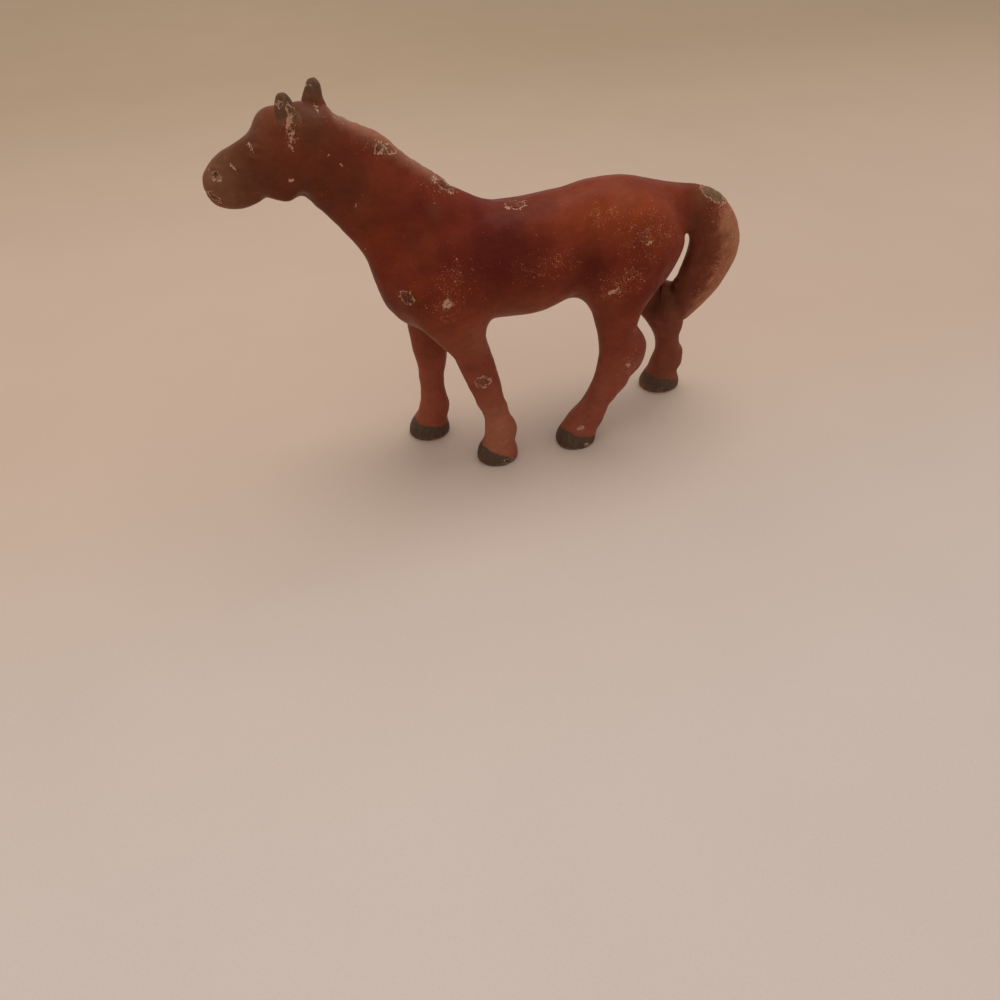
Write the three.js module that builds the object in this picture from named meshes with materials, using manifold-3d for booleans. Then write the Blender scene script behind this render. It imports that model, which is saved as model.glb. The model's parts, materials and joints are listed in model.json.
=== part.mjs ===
// Toy farm horse: one hollow metal casting from a two-part mould, painted, standing on its four hooves.
// Millimetres. +X runs to the nose, +Y to the horse's left, +Z up, and the hooves stand on z = 0.
//
// The casting is sculpted as forms that melt into each other, as a pattern maker models it.
// A form is a function of a point: below zero in the metal, zero on its skin, above zero outside.
// Each sub-part is the skin of the same forms, trimmed by flat cuts that it shares with its neighbours.
import * as THREE from "three";
import { mergeVertices } from "three/addons/utils/BufferGeometryUtils.js";
import Module from "manifold-3d";

const wasm = await Module();
wasm.setup();

// Trunk
const bellyHeight = 28.7; // floor to the underside of the girth
const trunkDepth = 20.5; // underside of the girth to the top of the withers
const trunkLength = 54.4; // point of the buttock to the front of the chest
const trunkWidth = 18.4; // across the ribs
const shoulderThickness = 6.4; // one shoulder, through its muscle
const thighThickness = 8.6; // one thigh, through its muscle

// Neck, mane and head
const neckReach = 17.0; // root of the neck to the poll, forward
const neckRise = 18.5; // root of the neck to the poll, upward
const neckDepth = 14.0; // crest to throat, halfway up
const neckWidth = 9.6; // across the middle of the neck
const maneHeight = 0.8; // hair above the crest
const maneWidth = 3.4; // hair across the crest
const maneSeat = 1.2; // crest that comes away with the mane
const headLength = 19.0; // back of the skull to the end of the nose
const headDepth = 12.4; // forehead to jaw
const headWidth = 8.2; // across the cheeks
const headTurn = -12; // degrees about the upright, negative to the horse's right
const eyeWidth = 2.2; // one eye with its lids
const nostrilWidth = 1.5; // dent of one nostril
const earWidth = 2.9; // widest part of an ear, seen from the side

// Legs and hooves
const foreTrack = 12.2; // between the middles of the fore hooves, across
const hindTrack = 12.6; // the same for the hind hooves
const foreCannon = 4.9; // fore-and-aft thickness of a fore leg below the knee
const hindCannon = 5.6; // the same for a hind leg below the hock
const legBreadth = 4.4; // across a leg below the knee or hock
const hoofLength = 8.4; // toe to heel on the floor
const hoofWidth = 7.2; // across the floor
const hoofHeight = 4.1; // floor to the coronet at the toe
const heelHeight = 2.1; // floor to the coronet at the heel

// Tail
const tailDrop = 26.5; // croup to the end of the tail, downward
const tailReach = 10.0; // how far it stands out behind its root
const tailSwing = 3.0; // how far its end hangs to the horse's right
const tailThickness = 10.5; // fore-and-aft, at its fullest
const tailWidth = 6.0; // across, at its fullest

// Casting
const wall = 1.7; // metal around the hollow of the trunk and neck
const ventWidth = 2.6; // hole under the belly
const meltReach = 3.0; // how far two large forms run into each other
const fineMelt = 1.0; // the same for small forms: ears, hooves, eyes and mane
const overrun = 4; // how far the vent's bore and the grid run past the metal

// Length of a facet's side, by sub-part
const trunkFacet = 2.1;
const neckFacet = 1.7;
const maneFacet = 1.1;
const headFacet = 0.95;
const earFacet = 0.6;
const legFacet = 1.35;
const hoofFacet = 1.1;
const tailFacet = 1.35;
const hollowFacet = 2.6;

// Rows of the barrel of the trunk: along from its middle, height above the girth line, half depth, half width
const barrelShares = [
  [-0.385, 0.56, 0.33, 0.27],
  [-0.275, 0.53, 0.515, 0.42],
  [-0.105, 0.53, 0.465, 0.43],
  [0.05, 0.485, 0.48, 0.48],
  [0.19, 0.475, 0.475, 0.48],
  [0.3, 0.44, 0.49, 0.41],
  [0.35, 0.4, 0.42, 0.32],
];

// Muscles on the sides of the trunk: along, height above the girth line, half length, half height, out, lean
const muscleShares = {
  left_shoulder: [0.33, 0.42, 0.12, 0.42, 0.3],
  right_shoulder: [0.34, 0.42, 0.12, 0.42, 0.3],
  left_thigh: [-0.292, 0.46, 0.162, 0.44, 0.26],
  right_thigh: [-0.32, 0.4, 0.17, 0.46, 0.26],
};
const muscleLean = { left_shoulder: 20, right_shoulder: 20, left_thigh: 30, right_thigh: -10 };

// Rows of the neck from its root to the poll: forward, up, half depth, half width
const neckRootShares = [0.35, 0.75]; // place of the root on the trunk: along, height
const neckShares = [
  [-0.07, -0.17, 0.74, 0.72],
  [0.255, 0.185, 0.575, 0.57],
  [0.495, 0.42, 0.505, 0.46],
  [0.72, 0.63, 0.46, 0.41],
  [0.92, 0.79, 0.395, 0.38],
];

// The hair of one lock at its fullest, then in the dip before the next: height and half width
const lockShares = [[1.25, 0.55], [1.1, 0.5]];
const lockCount = 9;

// Rows of the head from the poll to the muzzle: forward, up, half depth, half width
const pollShares = [1.006, 0.885]; // place of the poll on the neck's reach and rise
const headShares = [
  [0, 0, 0.365, 0.44],
  [0.13, -0.05, 0.45, 0.46],
  [0.265, -0.135, 0.375, 0.41],
  [0.425, -0.243, 0.33, 0.33],
  [0.565, -0.355, 0.335, 0.33],
  [0.648, -0.41, 0.285, 0.3],
];

// Small forms of the head: forward, up and out from the poll, then half length, half height and half width
const jowlShares = [0.25, -0.24, 0.16, 0.18, 0.33, 0.33];
const forelockShares = [0.222, 0.2, 0, 0.11, 0.2, 0.25];
const forelockLean = -50; // degrees, with its top to the back

// An eye and a nostril: forward, up and out from the poll, then half length, height and width of its own size
const eyeShares = [0.35, -0.03, 0.36, 0.5, 0.38, 0.33];
const nostrilShares = [0.7, -0.2, 0.24, 0.5, 0.42, 0.5];

// Rows of an ear from inside the skull to the tip: forward, up, out, half width, half thickness
const earShares = {
  left_ear: [
    [0.11, 0.18, 0.26, 0.5, 0.34],
    [0.12, 0.42, 0.32, 0.52, 0.36],
    [0.125, 0.54, 0.36, 0.38, 0.28],
    [0.13, 0.6, 0.38, 0.17, 0.16],
  ],
  right_ear: [
    [-0.09, 0.16, -0.28, 0.56, 0.4],
    [-0.1, 0.38, -0.32, 0.48, 0.38],
    [-0.12, 0.53, -0.33, 0.37, 0.3],
    [-0.13, 0.595, -0.33, 0.18, 0.18],
  ],
};

// Rows of a leg from the trunk to the pastern: height as a share of the girth line's, along the trunk,
// half fore-and-aft thickness as a share of the cannon's, half breadth as a share of the leg's
const legShares = {
  left_fore: [
    [1.1, 0.31, 0.86, 0.8],
    [0.93, 0.275, 0.74, 0.72],
    [0.76, 0.24, 0.66, 0.62],
    [0.62, 0.217, 0.61, 0.6],
    [0.48, 0.195, 0.52, 0.5],
    [0.34, 0.171, 0.51, 0.5],
    [0.24, 0.16, 0.6, 0.58],
    [0.13, 0.168, 0.6, 0.6],
  ],
  right_fore: [
    [1.1, 0.35, 0.86, 0.8],
    [0.86, 0.357, 0.68, 0.7],
    [0.64, 0.345, 0.62, 0.6],
    [0.45, 0.348, 0.49, 0.5],
    [0.31, 0.348, 0.53, 0.5],
    [0.2, 0.352, 0.6, 0.58],
    [0.12, 0.362, 0.6, 0.6],
  ],
  left_hind: [
    [1.16, -0.27, 1.2, 1.0],
    [0.98, -0.26, 0.88, 0.85],
    [0.84, -0.262, 0.72, 0.7],
    [0.68, -0.29, 0.86, 0.62],
    [0.56, -0.284, 0.84, 0.58],
    [0.44, -0.246, 0.6, 0.54],
    [0.33, -0.207, 0.45, 0.52],
    [0.24, -0.176, 0.5, 0.58],
    [0.14, -0.153, 0.63, 0.6],
  ],
  right_hind: [
    [1.2, -0.33, 1.3, 1.0],
    [1.0, -0.42, 1.2, 0.85],
    [0.84, -0.505, 1.0, 0.7],
    [0.68, -0.555, 0.72, 0.62],
    [0.55, -0.598, 0.64, 0.58],
    [0.42, -0.608, 0.48, 0.52],
    [0.3, -0.628, 0.6, 0.54],
    [0.2, -0.617, 0.62, 0.58],
    [0.13, -0.61, 0.6, 0.6],
  ],
};
const hoofCrownShares = [0.25, 1.15]; // a hoof's widest place up its heel, and its crown over its toe
const hoofPlaceShares = { left_fore: 0.172, right_fore: 0.372, left_hind: -0.137, right_hind: -0.605 };

// Rows of the tail from the croup down: back, down, half thickness, half width, swing to the right
const tailRootShares = [-0.46, 0.84]; // place of its root on the trunk: along, height
const tailShares = [
  [-0.1, 0.06, 0.3, 0.45, 0],
  [0.35, 0.09, 0.36, 0.5, 0],
  [0.72, 0.155, 0.385, 0.5, 0],
  [1.0, 0.3, 0.445, 0.5, 0.08],
  [1.11, 0.46, 0.51, 0.5, 0.2],
  [1.04, 0.66, 0.47, 0.46, 0.45],
  [0.9, 0.85, 0.35, 0.38, 0.8],
  [0.8, 0.98, 0.22, 0.28, 1],
];

// Where the casting is parted into sub-parts
const legTopShare = 0.93; // of the height of the girth line
const neckCutShares = [0.1, 0]; // on the neck: forward, up
const headCutShares = [0.86, 0.86]; // on the neck: forward, up
const tailCutShare = -0.515; // along the trunk
const ventShare = 0.04; // along the trunk
const neckCutLean = 40; // degrees that the cut faces forward of straight up
const headCutLean = 63;

const legNames = Object.keys(legShares);
const ORIGIN = { x: 0, y: 0, z: 0 };
const UP = [0, 0, 1];

function onTrunk(alongShare, heightShare, outShare = 0) {
  return { x: alongShare * trunkLength, y: outShare * trunkWidth, z: bellyHeight + heightShare * trunkDepth };
}

const neckRoot = onTrunk(...neckRootShares);

function onNeck(forwardShare, upShare) {
  return { x: neckRoot.x + forwardShare * neckReach, y: 0, z: neckRoot.z + upShare * neckRise };
}

const poll = onNeck(...pollShares);

function onHead(forwardShare, upShare, outShare = 0) {
  return { x: poll.x + forwardShare * headLength, y: outShare * headWidth, z: poll.z + upShare * headDepth };
}

// Two forms melted together where they come within reach of each other
function melt(a, b, reach) {
  const near = Math.max(reach - Math.abs(a - b), 0) / reach;
  return Math.min(a, b) - (near * near * reach) / 4;
}

function melted(forms, reach) {
  return (x, y, z) => {
    let sum = Infinity;
    for (const form of forms) sum = melt(sum, form(x, y, z), reach);
    return sum;
  };
}

// A form with a softly edged dent where a second form presses into it
function dented(form, dent, reach) {
  return (x, y, z) => -melt(-form(x, y, z), dent(x, y, z), reach);
}

// A long form through elliptical rings, each with its place, half depth and half width
function limb(rings) {
  const count = 4 * (rings.length - 1);
  const places = curveThrough(rings).getPoints(count);
  const sizes = curveThrough(rings.map(({ deep, broad }) => ({ x: deep, y: broad, z: 0 }))).getPoints(count);
  const reach = Math.max(...sizes.map((size) => Math.max(size.x, size.y)));
  const around = new THREE.Box3().setFromPoints(places).expandByScalar(reach);
  const spot = new THREE.Vector3();
  return (x, y, z) => {
    const far = around.distanceToPoint(spot.set(x, y, z));
    if (far > 2 * meltReach) return far;
    let nearest = Infinity;
    for (let i = 1; i < places.length; i += 1) {
      nearest = Math.min(nearest, span(places[i - 1], places[i], sizes[i - 1], sizes[i], x, y, z));
    }
    return nearest;
  };
}

function curveThrough(rows) {
  const points = rows.map(({ x, y, z }) => new THREE.Vector3(x, y, z));
  return new THREE.CatmullRomCurve3(points, false, "catmullrom");
}

// The distance to one short tapered span of a limb
function span(a, b, sizeA, sizeB, x, y, z) {
  const run = a.distanceToSquared(b);
  const along = (x - a.x) * (b.x - a.x) + (y - a.y) * (b.y - a.y) + (z - a.z) * (b.z - a.z);
  const t = Math.min(Math.max(along / run, 0), 1);
  const deep = sizeA.x + (sizeB.x - sizeA.x) * t;
  const squash = (sizeA.y + (sizeB.y - sizeA.y) * t) / deep;
  const dx = x - a.x - (b.x - a.x) * t;
  const dy = (y - a.y - (b.y - a.y) * t) / squash;
  const dz = z - a.z - (b.z - a.z) * t;
  return (Math.sqrt(dx * dx + dy * dy + dz * dz) - deep) * Math.min(squash, 1);
}

// An egg-shaped form leaning by an angle in the side view, positive with its top to the front
function egg(centre, radii, leanDegrees = 0) {
  const lean = THREE.MathUtils.degToRad(leanDegrees);
  const cos = Math.cos(lean);
  const sin = Math.sin(lean);
  return (x, y, z) => {
    const u = ((x - centre.x) * cos - (z - centre.z) * sin) / radii.x;
    const v = (y - centre.y) / radii.y;
    const w = ((x - centre.x) * sin + (z - centre.z) * cos) / radii.z;
    const size = Math.hypot(u, v, w);
    const slope = Math.hypot(u / radii.x, v / radii.y, w / radii.z);
    return slope > 0 ? (size * (size - 1)) / slope : -Math.min(radii.x, radii.y, radii.z);
  };
}

// The barrel of the trunk, smaller all round by an inset
function barrelForm(inset) {
  return limb(barrelShares.map(([along, height, deep, broad]) => ({
    ...onTrunk(along, height),
    deep: deep * trunkDepth - inset,
    broad: broad * trunkWidth - inset,
  })));
}

function muscleForm(name) {
  const [along, height, halfLength, halfHeight, out] = muscleShares[name];
  const side = name.startsWith("left") ? 1 : -1;
  const thickness = name.endsWith("thigh") ? thighThickness : shoulderThickness;
  const radii = { x: halfLength * trunkLength, y: thickness / 2, z: halfHeight * trunkDepth };
  return egg(onTrunk(along, height, side * out), radii, muscleLean[name]);
}

function neckForm(inset) {
  return limb(neckShares.map(([forward, up, deep, broad]) => ({
    ...onNeck(forward, up),
    deep: deep * neckDepth - inset,
    broad: broad * neckWidth - inset,
  })));
}

// The point of the neck's crest above one of its rows
function crest([forward, up, deep]) {
  const middle = onNeck(forward, up);
  const slope = Math.hypot(neckReach, neckRise);
  return {
    x: middle.x - (deep * neckDepth * neckRise) / slope,
    y: 0,
    z: middle.z + (deep * neckDepth * neckReach) / slope,
  };
}

// The hair along the crest, lumpy where one lock lies beside the next
function maneForm() {
  const rows = neckShares.slice(1).map(crest);
  return limb(curveThrough(rows).getPoints(2 * lockCount).map(({ x, y, z }, i) => {
    const [high, wide] = lockShares[i % 2];
    return { x, y, z, deep: high * maneHeight, broad: wide * maneWidth };
  }));
}

// Turns a form that is sculpted nose forward about the upright through the poll
function turned(form) {
  const turn = THREE.MathUtils.degToRad(headTurn);
  const cos = Math.cos(turn);
  const sin = Math.sin(turn);
  return (x, y, z) => {
    const dx = x - poll.x;
    const dy = y - poll.y;
    return form(poll.x + dx * cos + dy * sin, poll.y - dx * sin + dy * cos, z);
  };
}

// A small egg on one side of the head, as shares of a length, height and width
function onFace(shares, side, length, height, width, lean = 0) {
  const [forward, up, out, halfLength, halfHeight, halfWidth] = shares;
  const radii = { x: halfLength * length, y: halfWidth * width, z: halfHeight * height };
  return egg(onHead(forward, up, side * out), radii, lean);
}

function headForm() {
  const skull = limb(headShares.map(([forward, up, deep, broad]) => ({
    ...onHead(forward, up),
    deep: deep * headDepth,
    broad: broad * headWidth,
  })));
  const swellings = [];
  const nostrils = [];
  [1, -1].forEach((side) => {
    swellings.push(onFace(jowlShares, side, headLength, headDepth, headWidth));
    swellings.push(onFace(eyeShares, side, eyeWidth, eyeWidth, eyeWidth));
    nostrils.push(onFace(nostrilShares, side, nostrilWidth, nostrilWidth, nostrilWidth));
  });
  swellings.push(onFace(forelockShares, 1, headLength, headDepth, headWidth, forelockLean));
  const face = melted([skull, ...swellings], fineMelt);
  return turned(dented(face, melted(nostrils, fineMelt), fineMelt / 2));
}

function earForm(name) {
  return limb(earShares[name].map(([forward, up, out, wide, thick]) => ({
    ...onHead(forward, up, out),
    deep: wide * earWidth,
    broad: thick * earWidth,
  })));
}

function legForm(name) {
  const side = name.startsWith("left") ? 1 : -1;
  const fore = name.endsWith("fore");
  const y = (side * (fore ? foreTrack : hindTrack)) / 2;
  const cannon = fore ? foreCannon : hindCannon;
  const shaft = limb(legShares[name].map(([height, along, deep, broad]) => ({
    x: along * trunkLength,
    y,
    z: height * bellyHeight,
    deep: deep * cannon,
    broad: broad * legBreadth,
  })));
  const [widest, crown] = hoofCrownShares;
  const hoofMiddle = { x: hoofPlaceShares[name] * trunkLength, y, z: widest * heelHeight };
  const hoof = egg(hoofMiddle, { x: hoofLength / 2, y: hoofWidth / 2, z: crown * hoofHeight });
  return melted([shaft, hoof], fineMelt);
}

function tailForm() {
  const root = onTrunk(...tailRootShares);
  return limb(tailShares.map(([back, down, deep, broad, swing]) => ({
    x: root.x - back * tailReach,
    y: -swing * tailSwing,
    z: root.z - down * tailDrop,
    deep: deep * tailThickness,
    broad: broad * tailWidth,
  })));
}

const muscles = Object.keys(muscleShares).map(muscleForm);
const forehand = melted([barrelForm(0), neckForm(0), headForm(), ...muscles], meltReach);
const torso = melted([forehand, maneForm()], fineMelt);
const figure = melted([torso, ...legNames.map(legForm)], meltReach);
const tail = tailForm();
const torsoWithTail = melted([torso, tail], meltReach);
const figureWithTail = melted([figure, tail], meltReach);
const hollow = melted([barrelForm(wall), neckForm(wall)], meltReach);

// The room that every form lies in
const farCorner = {
  x: trunkLength / 2 + neckReach + headLength,
  y: trunkWidth,
  z: bellyHeight + trunkDepth + neckRise + headDepth,
};
const room = new THREE.Box3(
  new THREE.Vector3(-trunkLength, -trunkWidth, -overrun),
  new THREE.Vector3(farCorner.x, farCorner.y, farCorner.z),
);

function toSolid(geometry) {
  geometry.deleteAttribute("normal");
  geometry.deleteAttribute("uv");
  const merged = mergeVertices(geometry);
  return new wasm.Manifold(new wasm.Mesh({
    numProp: 3,
    vertProperties: new Float32Array(merged.attributes.position.array),
    triVerts: new Uint32Array(merged.index.array),
  }));
}

// A flat cut through a point: one block fills the side that it faces, and trims both neighbours
function flatCut(point, facing) {
  const normal = new THREE.Vector3(...facing).normalize();
  const size = 2 * room.max.distanceTo(room.min);
  const geometry = new THREE.BoxGeometry(size, size, size);
  geometry.translate(0, 0, size / 2);
  geometry.applyQuaternion(new THREE.Quaternion().setFromUnitVectors(new THREE.Vector3(...UP), normal));
  geometry.translate(point.x, point.y, point.z);
  const block = toSolid(geometry);
  const ahead = (x, y, z) => (x - point.x) * normal.x + (y - point.y) * normal.y + (z - point.z) * normal.z;
  return {
    front: { depth: ahead, trim: (solid) => solid.intersect(block) },
    back: { depth: (x, y, z) => -ahead(x, y, z), trim: (solid) => solid.subtract(block) },
  };
}

function leaning(degrees) {
  const lean = THREE.MathUtils.degToRad(degrees);
  return [Math.sin(lean), 0, Math.cos(lean)];
}

// A grid of the form's values through the room, open space along its rim.
// Cells far from the skin or the region aren't worked out.
const cellCount = 6; // along a block that is passed over as one
const marginShare = 2.5; // of a facet, worked out beyond the region

function sampled(form, region, facet) {
  const size = room.getSize(new THREE.Vector3());
  const blocks = ["x", "y", "z"].map((axis) => Math.ceil(size[axis] / facet / cellCount));
  const count = blocks.map((n) => n * cellCount);
  const grid = {
    count,
    values: new Float32Array(count[0] * count[1] * count[2]),
    at: (i, j, k) => i + count[0] * (j + count[1] * k),
    place: (i, j, k) => [room.min.x + i * facet, room.min.y + j * facet, room.min.z + k * facet],
    depth: (x, y, z) => region.reduce((least, side) => Math.min(least, side.depth(x, y, z)), Infinity),
  };
  const margin = marginShare * facet;
  const blockReach = cellCount * facet;
  eachCell([0, 0, 0], blocks, (bi, bj, bk) => {
    const from = [bi, bj, bk].map((n) => n * cellCount);
    const middle = grid.place(...from.map((n) => n + cellCount / 2));
    const outside = grid.depth(...middle) < -blockReach - margin;
    const value = outside ? facet : form(...middle);
    const solid = Math.abs(value) > blockReach;
    eachCell(from, from.map((n) => n + cellCount), (i, j, k) => {
      const at = grid.at(i, j, k);
      const p = grid.place(i, j, k);
      const rim = i * j * k === 0 || i === count[0] - 1 || j === count[1] - 1 || k === count[2] - 1;
      if (rim) grid.values[at] = facet;
      else if (outside || solid) grid.values[at] = value;
      else grid.values[at] = grid.depth(...p) < -margin ? facet : form(...p);
    });
  });
  return grid;
}

function eachCell(from, to, visit) {
  for (let k = from[2]; k < to[2]; k += 1) {
    for (let j = from[1]; j < to[1]; j += 1) {
      for (let i = from[0]; i < to[0]; i += 1) visit(i, j, k);
    }
  }
}

const nudgeShare = 0.05; // of a facet: a step that is small beside it
const AXES = [[1, 0, 0], [0, 1, 0], [0, 0, 1]];
const CORNERS = [0, 1, 2, 3, 4, 5, 6, 7].map((c) => [c & 1, (c >> 1) & 1, c >> 2]);
const EDGES = CORNERS.flatMap((_, a) => [1, 2, 4].filter((step) => !(a & step)).map((step) => [a, a | step]));

// The closed skin of a form near a region, as facets of about one length
function skin(form, region, facet) {
  const grid = sampled(form, region, facet);
  dropSpecks(grid, facet);
  const corners = [];
  const cornerOf = new Map();
  eachCell([0, 0, 0], grid.count.map((n) => n - 1), (i, j, k) => {
    const values = CORNERS.map(([di, dj, dk]) => grid.values[grid.at(i + di, j + dj, k + dk)]);
    const inside = values.filter((value) => value < 0).length;
    if (inside === 0 || inside === CORNERS.length) return;
    const middle = new THREE.Vector3();
    const crossed = EDGES.filter(([a, b]) => values[a] < 0 !== values[b] < 0);
    crossed.forEach(([a, b]) => {
      const from = new THREE.Vector3(...CORNERS[a]);
      const to = new THREE.Vector3(...CORNERS[b]);
      middle.add(from.lerp(to, values[a] / (values[a] - values[b])));
    });
    middle.multiplyScalar(facet / crossed.length).add(new THREE.Vector3(...grid.place(i, j, k)));
    cornerOf.set(grid.at(i, j, k), corners.length);
    corners.push(drawnOnto(form, middle, facet, grid.depth));
  });
  return new wasm.Manifold(new wasm.Mesh({
    numProp: 3,
    vertProperties: new Float32Array(corners.flatMap((corner) => corner.toArray())),
    triVerts: new Uint32Array(facetsBetween(grid, corners, cornerOf)),
  }));
}

// The grid's point some steps along two axes
function stepped(grid, [i, j, k], u, du, v, dv) {
  return grid.at(i + du * u[0] + dv * v[0], j + du * u[1] + dv * v[1], k + du * u[2] + dv * v[2]);
}

// Where metal meets metal only across the diagonal of a grid square, the thinner speck is left out,
// so that no edge of the skin belongs to more than two facets
function dropSpecks(grid, facet) {
  let found = true;
  while (found) {
    found = false;
    AXES.forEach((u, axis) => {
      const v = AXES[(axis + 1) % 3];
      eachCell([0, 0, 0], grid.count.map((n, a) => n - u[a] - v[a]), (i, j, k) => {
        const around = [[0, 0], [1, 0], [0, 1], [1, 1]];
        const square = around.map(([du, dv]) => stepped(grid, [i, j, k], u, du, v, dv));
        const [a, b, c, d] = square.map((at) => grid.values[at] < 0);
        if (a !== d || b !== c || a === b) return;
        const pair = a ? [square[0], square[3]] : [square[1], square[2]];
        const thin = grid.values[pair[0]] > grid.values[pair[1]] ? pair[0] : pair[1];
        grid.values[thin] = nudgeShare * facet;
        found = true;
      });
    });
  }
}

// A corner moved along the slope of the form until it lies on the skin
function drawnOnto(form, corner, facet, depth) {
  const start = corner.clone();
  const step = nudgeShare * facet;
  for (let round = 0; round < 3; round += 1) {
    const { x, y, z } = corner;
    if (depth(x, y, z) < -facet) break;
    const slope = new THREE.Vector3(
      form(x + step, y, z) - form(x - step, y, z),
      form(x, y + step, z) - form(x, y - step, z),
      form(x, y, z + step) - form(x, y, z - step),
    ).divideScalar(2 * step);
    if (slope.lengthSq() === 0) break;
    corner.addScaledVector(slope, -form(x, y, z) / slope.lengthSq());
    corner.sub(start).clampLength(0, facet / 2).add(start);
  }
  return corner;
}

// Two triangles across every grid line that crosses the skin, split along the shorter diagonal
function facetsBetween(grid, corners, cornerOf) {
  const triangles = [];
  eachCell([0, 0, 0], grid.count.map((n) => n - 1), (i, j, k) => {
    const here = grid.values[grid.at(i, j, k)] < 0;
    AXES.forEach((step, axis) => {
      if (here === grid.values[grid.at(i + step[0], j + step[1], k + step[2])] < 0) return;
      const u = AXES[(axis + 1) % 3];
      const v = AXES[(axis + 2) % 3];
      const around = [[-1, -1], [0, -1], [0, 0], [-1, 0]];
      const ring = around.map(([du, dv]) => cornerOf.get(stepped(grid, [i, j, k], u, du, v, dv)));
      if (!here) ring.reverse();
      const [a, b, c, d] = ring;
      const short = corners[a].distanceToSquared(corners[c]) <= corners[b].distanceToSquared(corners[d]);
      triangles.push(...(short ? [a, b, c, a, c, d] : [a, b, d, b, c, d]));
    });
  });
  return triangles;
}

// The skin of a form inside a region, with flat faces where the region ends
function piece(form, region, facet) {
  return region.reduce((solid, side) => side.trim(solid), skin(form, region, facet));
}

const floorCut = flatCut(ORIGIN, UP);
const middleCut = flatCut(ORIGIN, [1, 0, 0]);
const spineCut = flatCut(ORIGIN, [0, 1, 0]);
const legCut = flatCut({ ...ORIGIN, z: legTopShare * bellyHeight }, UP);
const neckCut = flatCut(onNeck(...neckCutShares), leaning(neckCutLean));
const headCut = flatCut(onNeck(...headCutShares), leaning(headCutLean));
const tailCut = flatCut(onTrunk(tailCutShare, 0), [-1, 0, 0]);

// The mane comes away with the crest above a straight line from the withers to the poll
function maneCutAt() {
  const low = crest(neckShares[1]);
  const high = crest(neckShares[neckShares.length - 1]);
  const slope = Math.atan2(high.z - low.z, high.x - low.x);
  const point = { x: low.x + maneSeat * Math.sin(slope), y: 0, z: low.z - maneSeat * Math.cos(slope) };
  return flatCut(point, [-Math.sin(slope), 0, Math.cos(slope)]);
}

const maneCut = maneCutAt();

function coronetCut(name) {
  const middle = { x: hoofPlaceShares[name] * trunkLength, y: 0, z: (hoofHeight + heelHeight) / 2 };
  return flatCut(middle, [heelHeight - hoofHeight, 0, hoofLength]);
}

function ventBore() {
  const height = 2 * overrun + wall;
  const bore = new THREE.CylinderGeometry(ventWidth / 2, ventWidth / 2, height, 12);
  bore.rotateX(Math.PI / 2);
  bore.translate(ventShare * trunkLength, 0, bellyHeight + wall);
  return toSolid(bore);
}

const solids = {};
const cavity = skin(hollow, [], hollowFacet);
const neckRegion = [neckCut.front, headCut.back];
solids.body = piece(figureWithTail, [legCut.front, neckCut.back, tailCut.back], trunkFacet).subtract(cavity);
solids.body = solids.body.subtract(ventBore());
const neckWhole = piece(figure, [...neckRegion, maneCut.back], neckFacet);
solids.neck = neckWhole.subtract(cavity);
solids.mane = piece(figure, [...neckRegion, maneCut.front], maneFacet);
solids.head = piece(figure, [headCut.front], headFacet);
Object.keys(earShares).forEach((name) => {
  const ear = skin(earForm(name), [], earFacet);
  solids[name] = ear.subtract(solids.head).subtract(solids.mane).subtract(neckWhole);
});
legNames.forEach((name) => {
  const side = name.startsWith("left") ? spineCut.front : spineCut.back;
  const end = name.endsWith("fore") ? middleCut.front : middleCut.back;
  const coronet = coronetCut(name);
  solids[`${name}_leg`] = piece(figure, [side, end, legCut.back, coronet.front], legFacet);
  solids[`${name}_hoof`] = piece(figure, [side, end, coronet.back, floorCut.front], hoofFacet);
});
solids.tail = piece(torsoWithTail, [tailCut.front], tailFacet).subtract(solids.right_hind_leg);

function toGeometry(solid) {
  const { numVert, numProp, vertProperties, triVerts } = solid.getMesh();
  const positions = new Float32Array(numVert * 3);
  for (let i = 0; i < numVert; i += 1) {
    positions.set(vertProperties.subarray(i * numProp, i * numProp + 3), i * 3);
  }
  const geometry = new THREE.BufferGeometry();
  geometry.setAttribute("position", new THREE.BufferAttribute(positions, 3));
  geometry.setIndex(new THREE.BufferAttribute(new Uint32Array(triVerts), 1));
  geometry.computeVertexNormals();
  return geometry;
}

// Paint: a reddish brown coat, a dull olive tail, black hooves and ears
const coatPaint = () => new THREE.MeshStandardMaterial({ color: 0x8a4634, roughness: 0.42, metalness: 0 });
const tailPaint = () => new THREE.MeshStandardMaterial({ color: 0x6f4f3a, roughness: 0.5, metalness: 0 });
const blackPaint = () => new THREE.MeshStandardMaterial({ color: 0x2a211d, roughness: 0.5, metalness: 0 });

function paintOf(name) {
  if (name.endsWith("hoof") || name.endsWith("ear")) return blackPaint();
  return name === "tail" ? tailPaint() : coatPaint();
}

const casting = new THREE.Group();
Object.entries(solids).forEach(([name, solid]) => {
  const mesh = new THREE.Mesh(toGeometry(solid), paintOf(name));
  mesh.name = name;
  casting.add(mesh);
});

// The origin is on the floor under the middle of the whole figure
const extent = new THREE.Box3().setFromObject(casting);
const middle = extent.getCenter(new THREE.Vector3());
casting.position.set(-middle.x, -middle.y, -extent.min.z);

const horse = new THREE.Group();
horse.add(casting);

export default horse;
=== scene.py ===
import json
import math
from contextlib import contextmanager

import bmesh
import bpy
import numpy as np
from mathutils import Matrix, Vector
from mathutils.bvhtree import BVHTree

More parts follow.
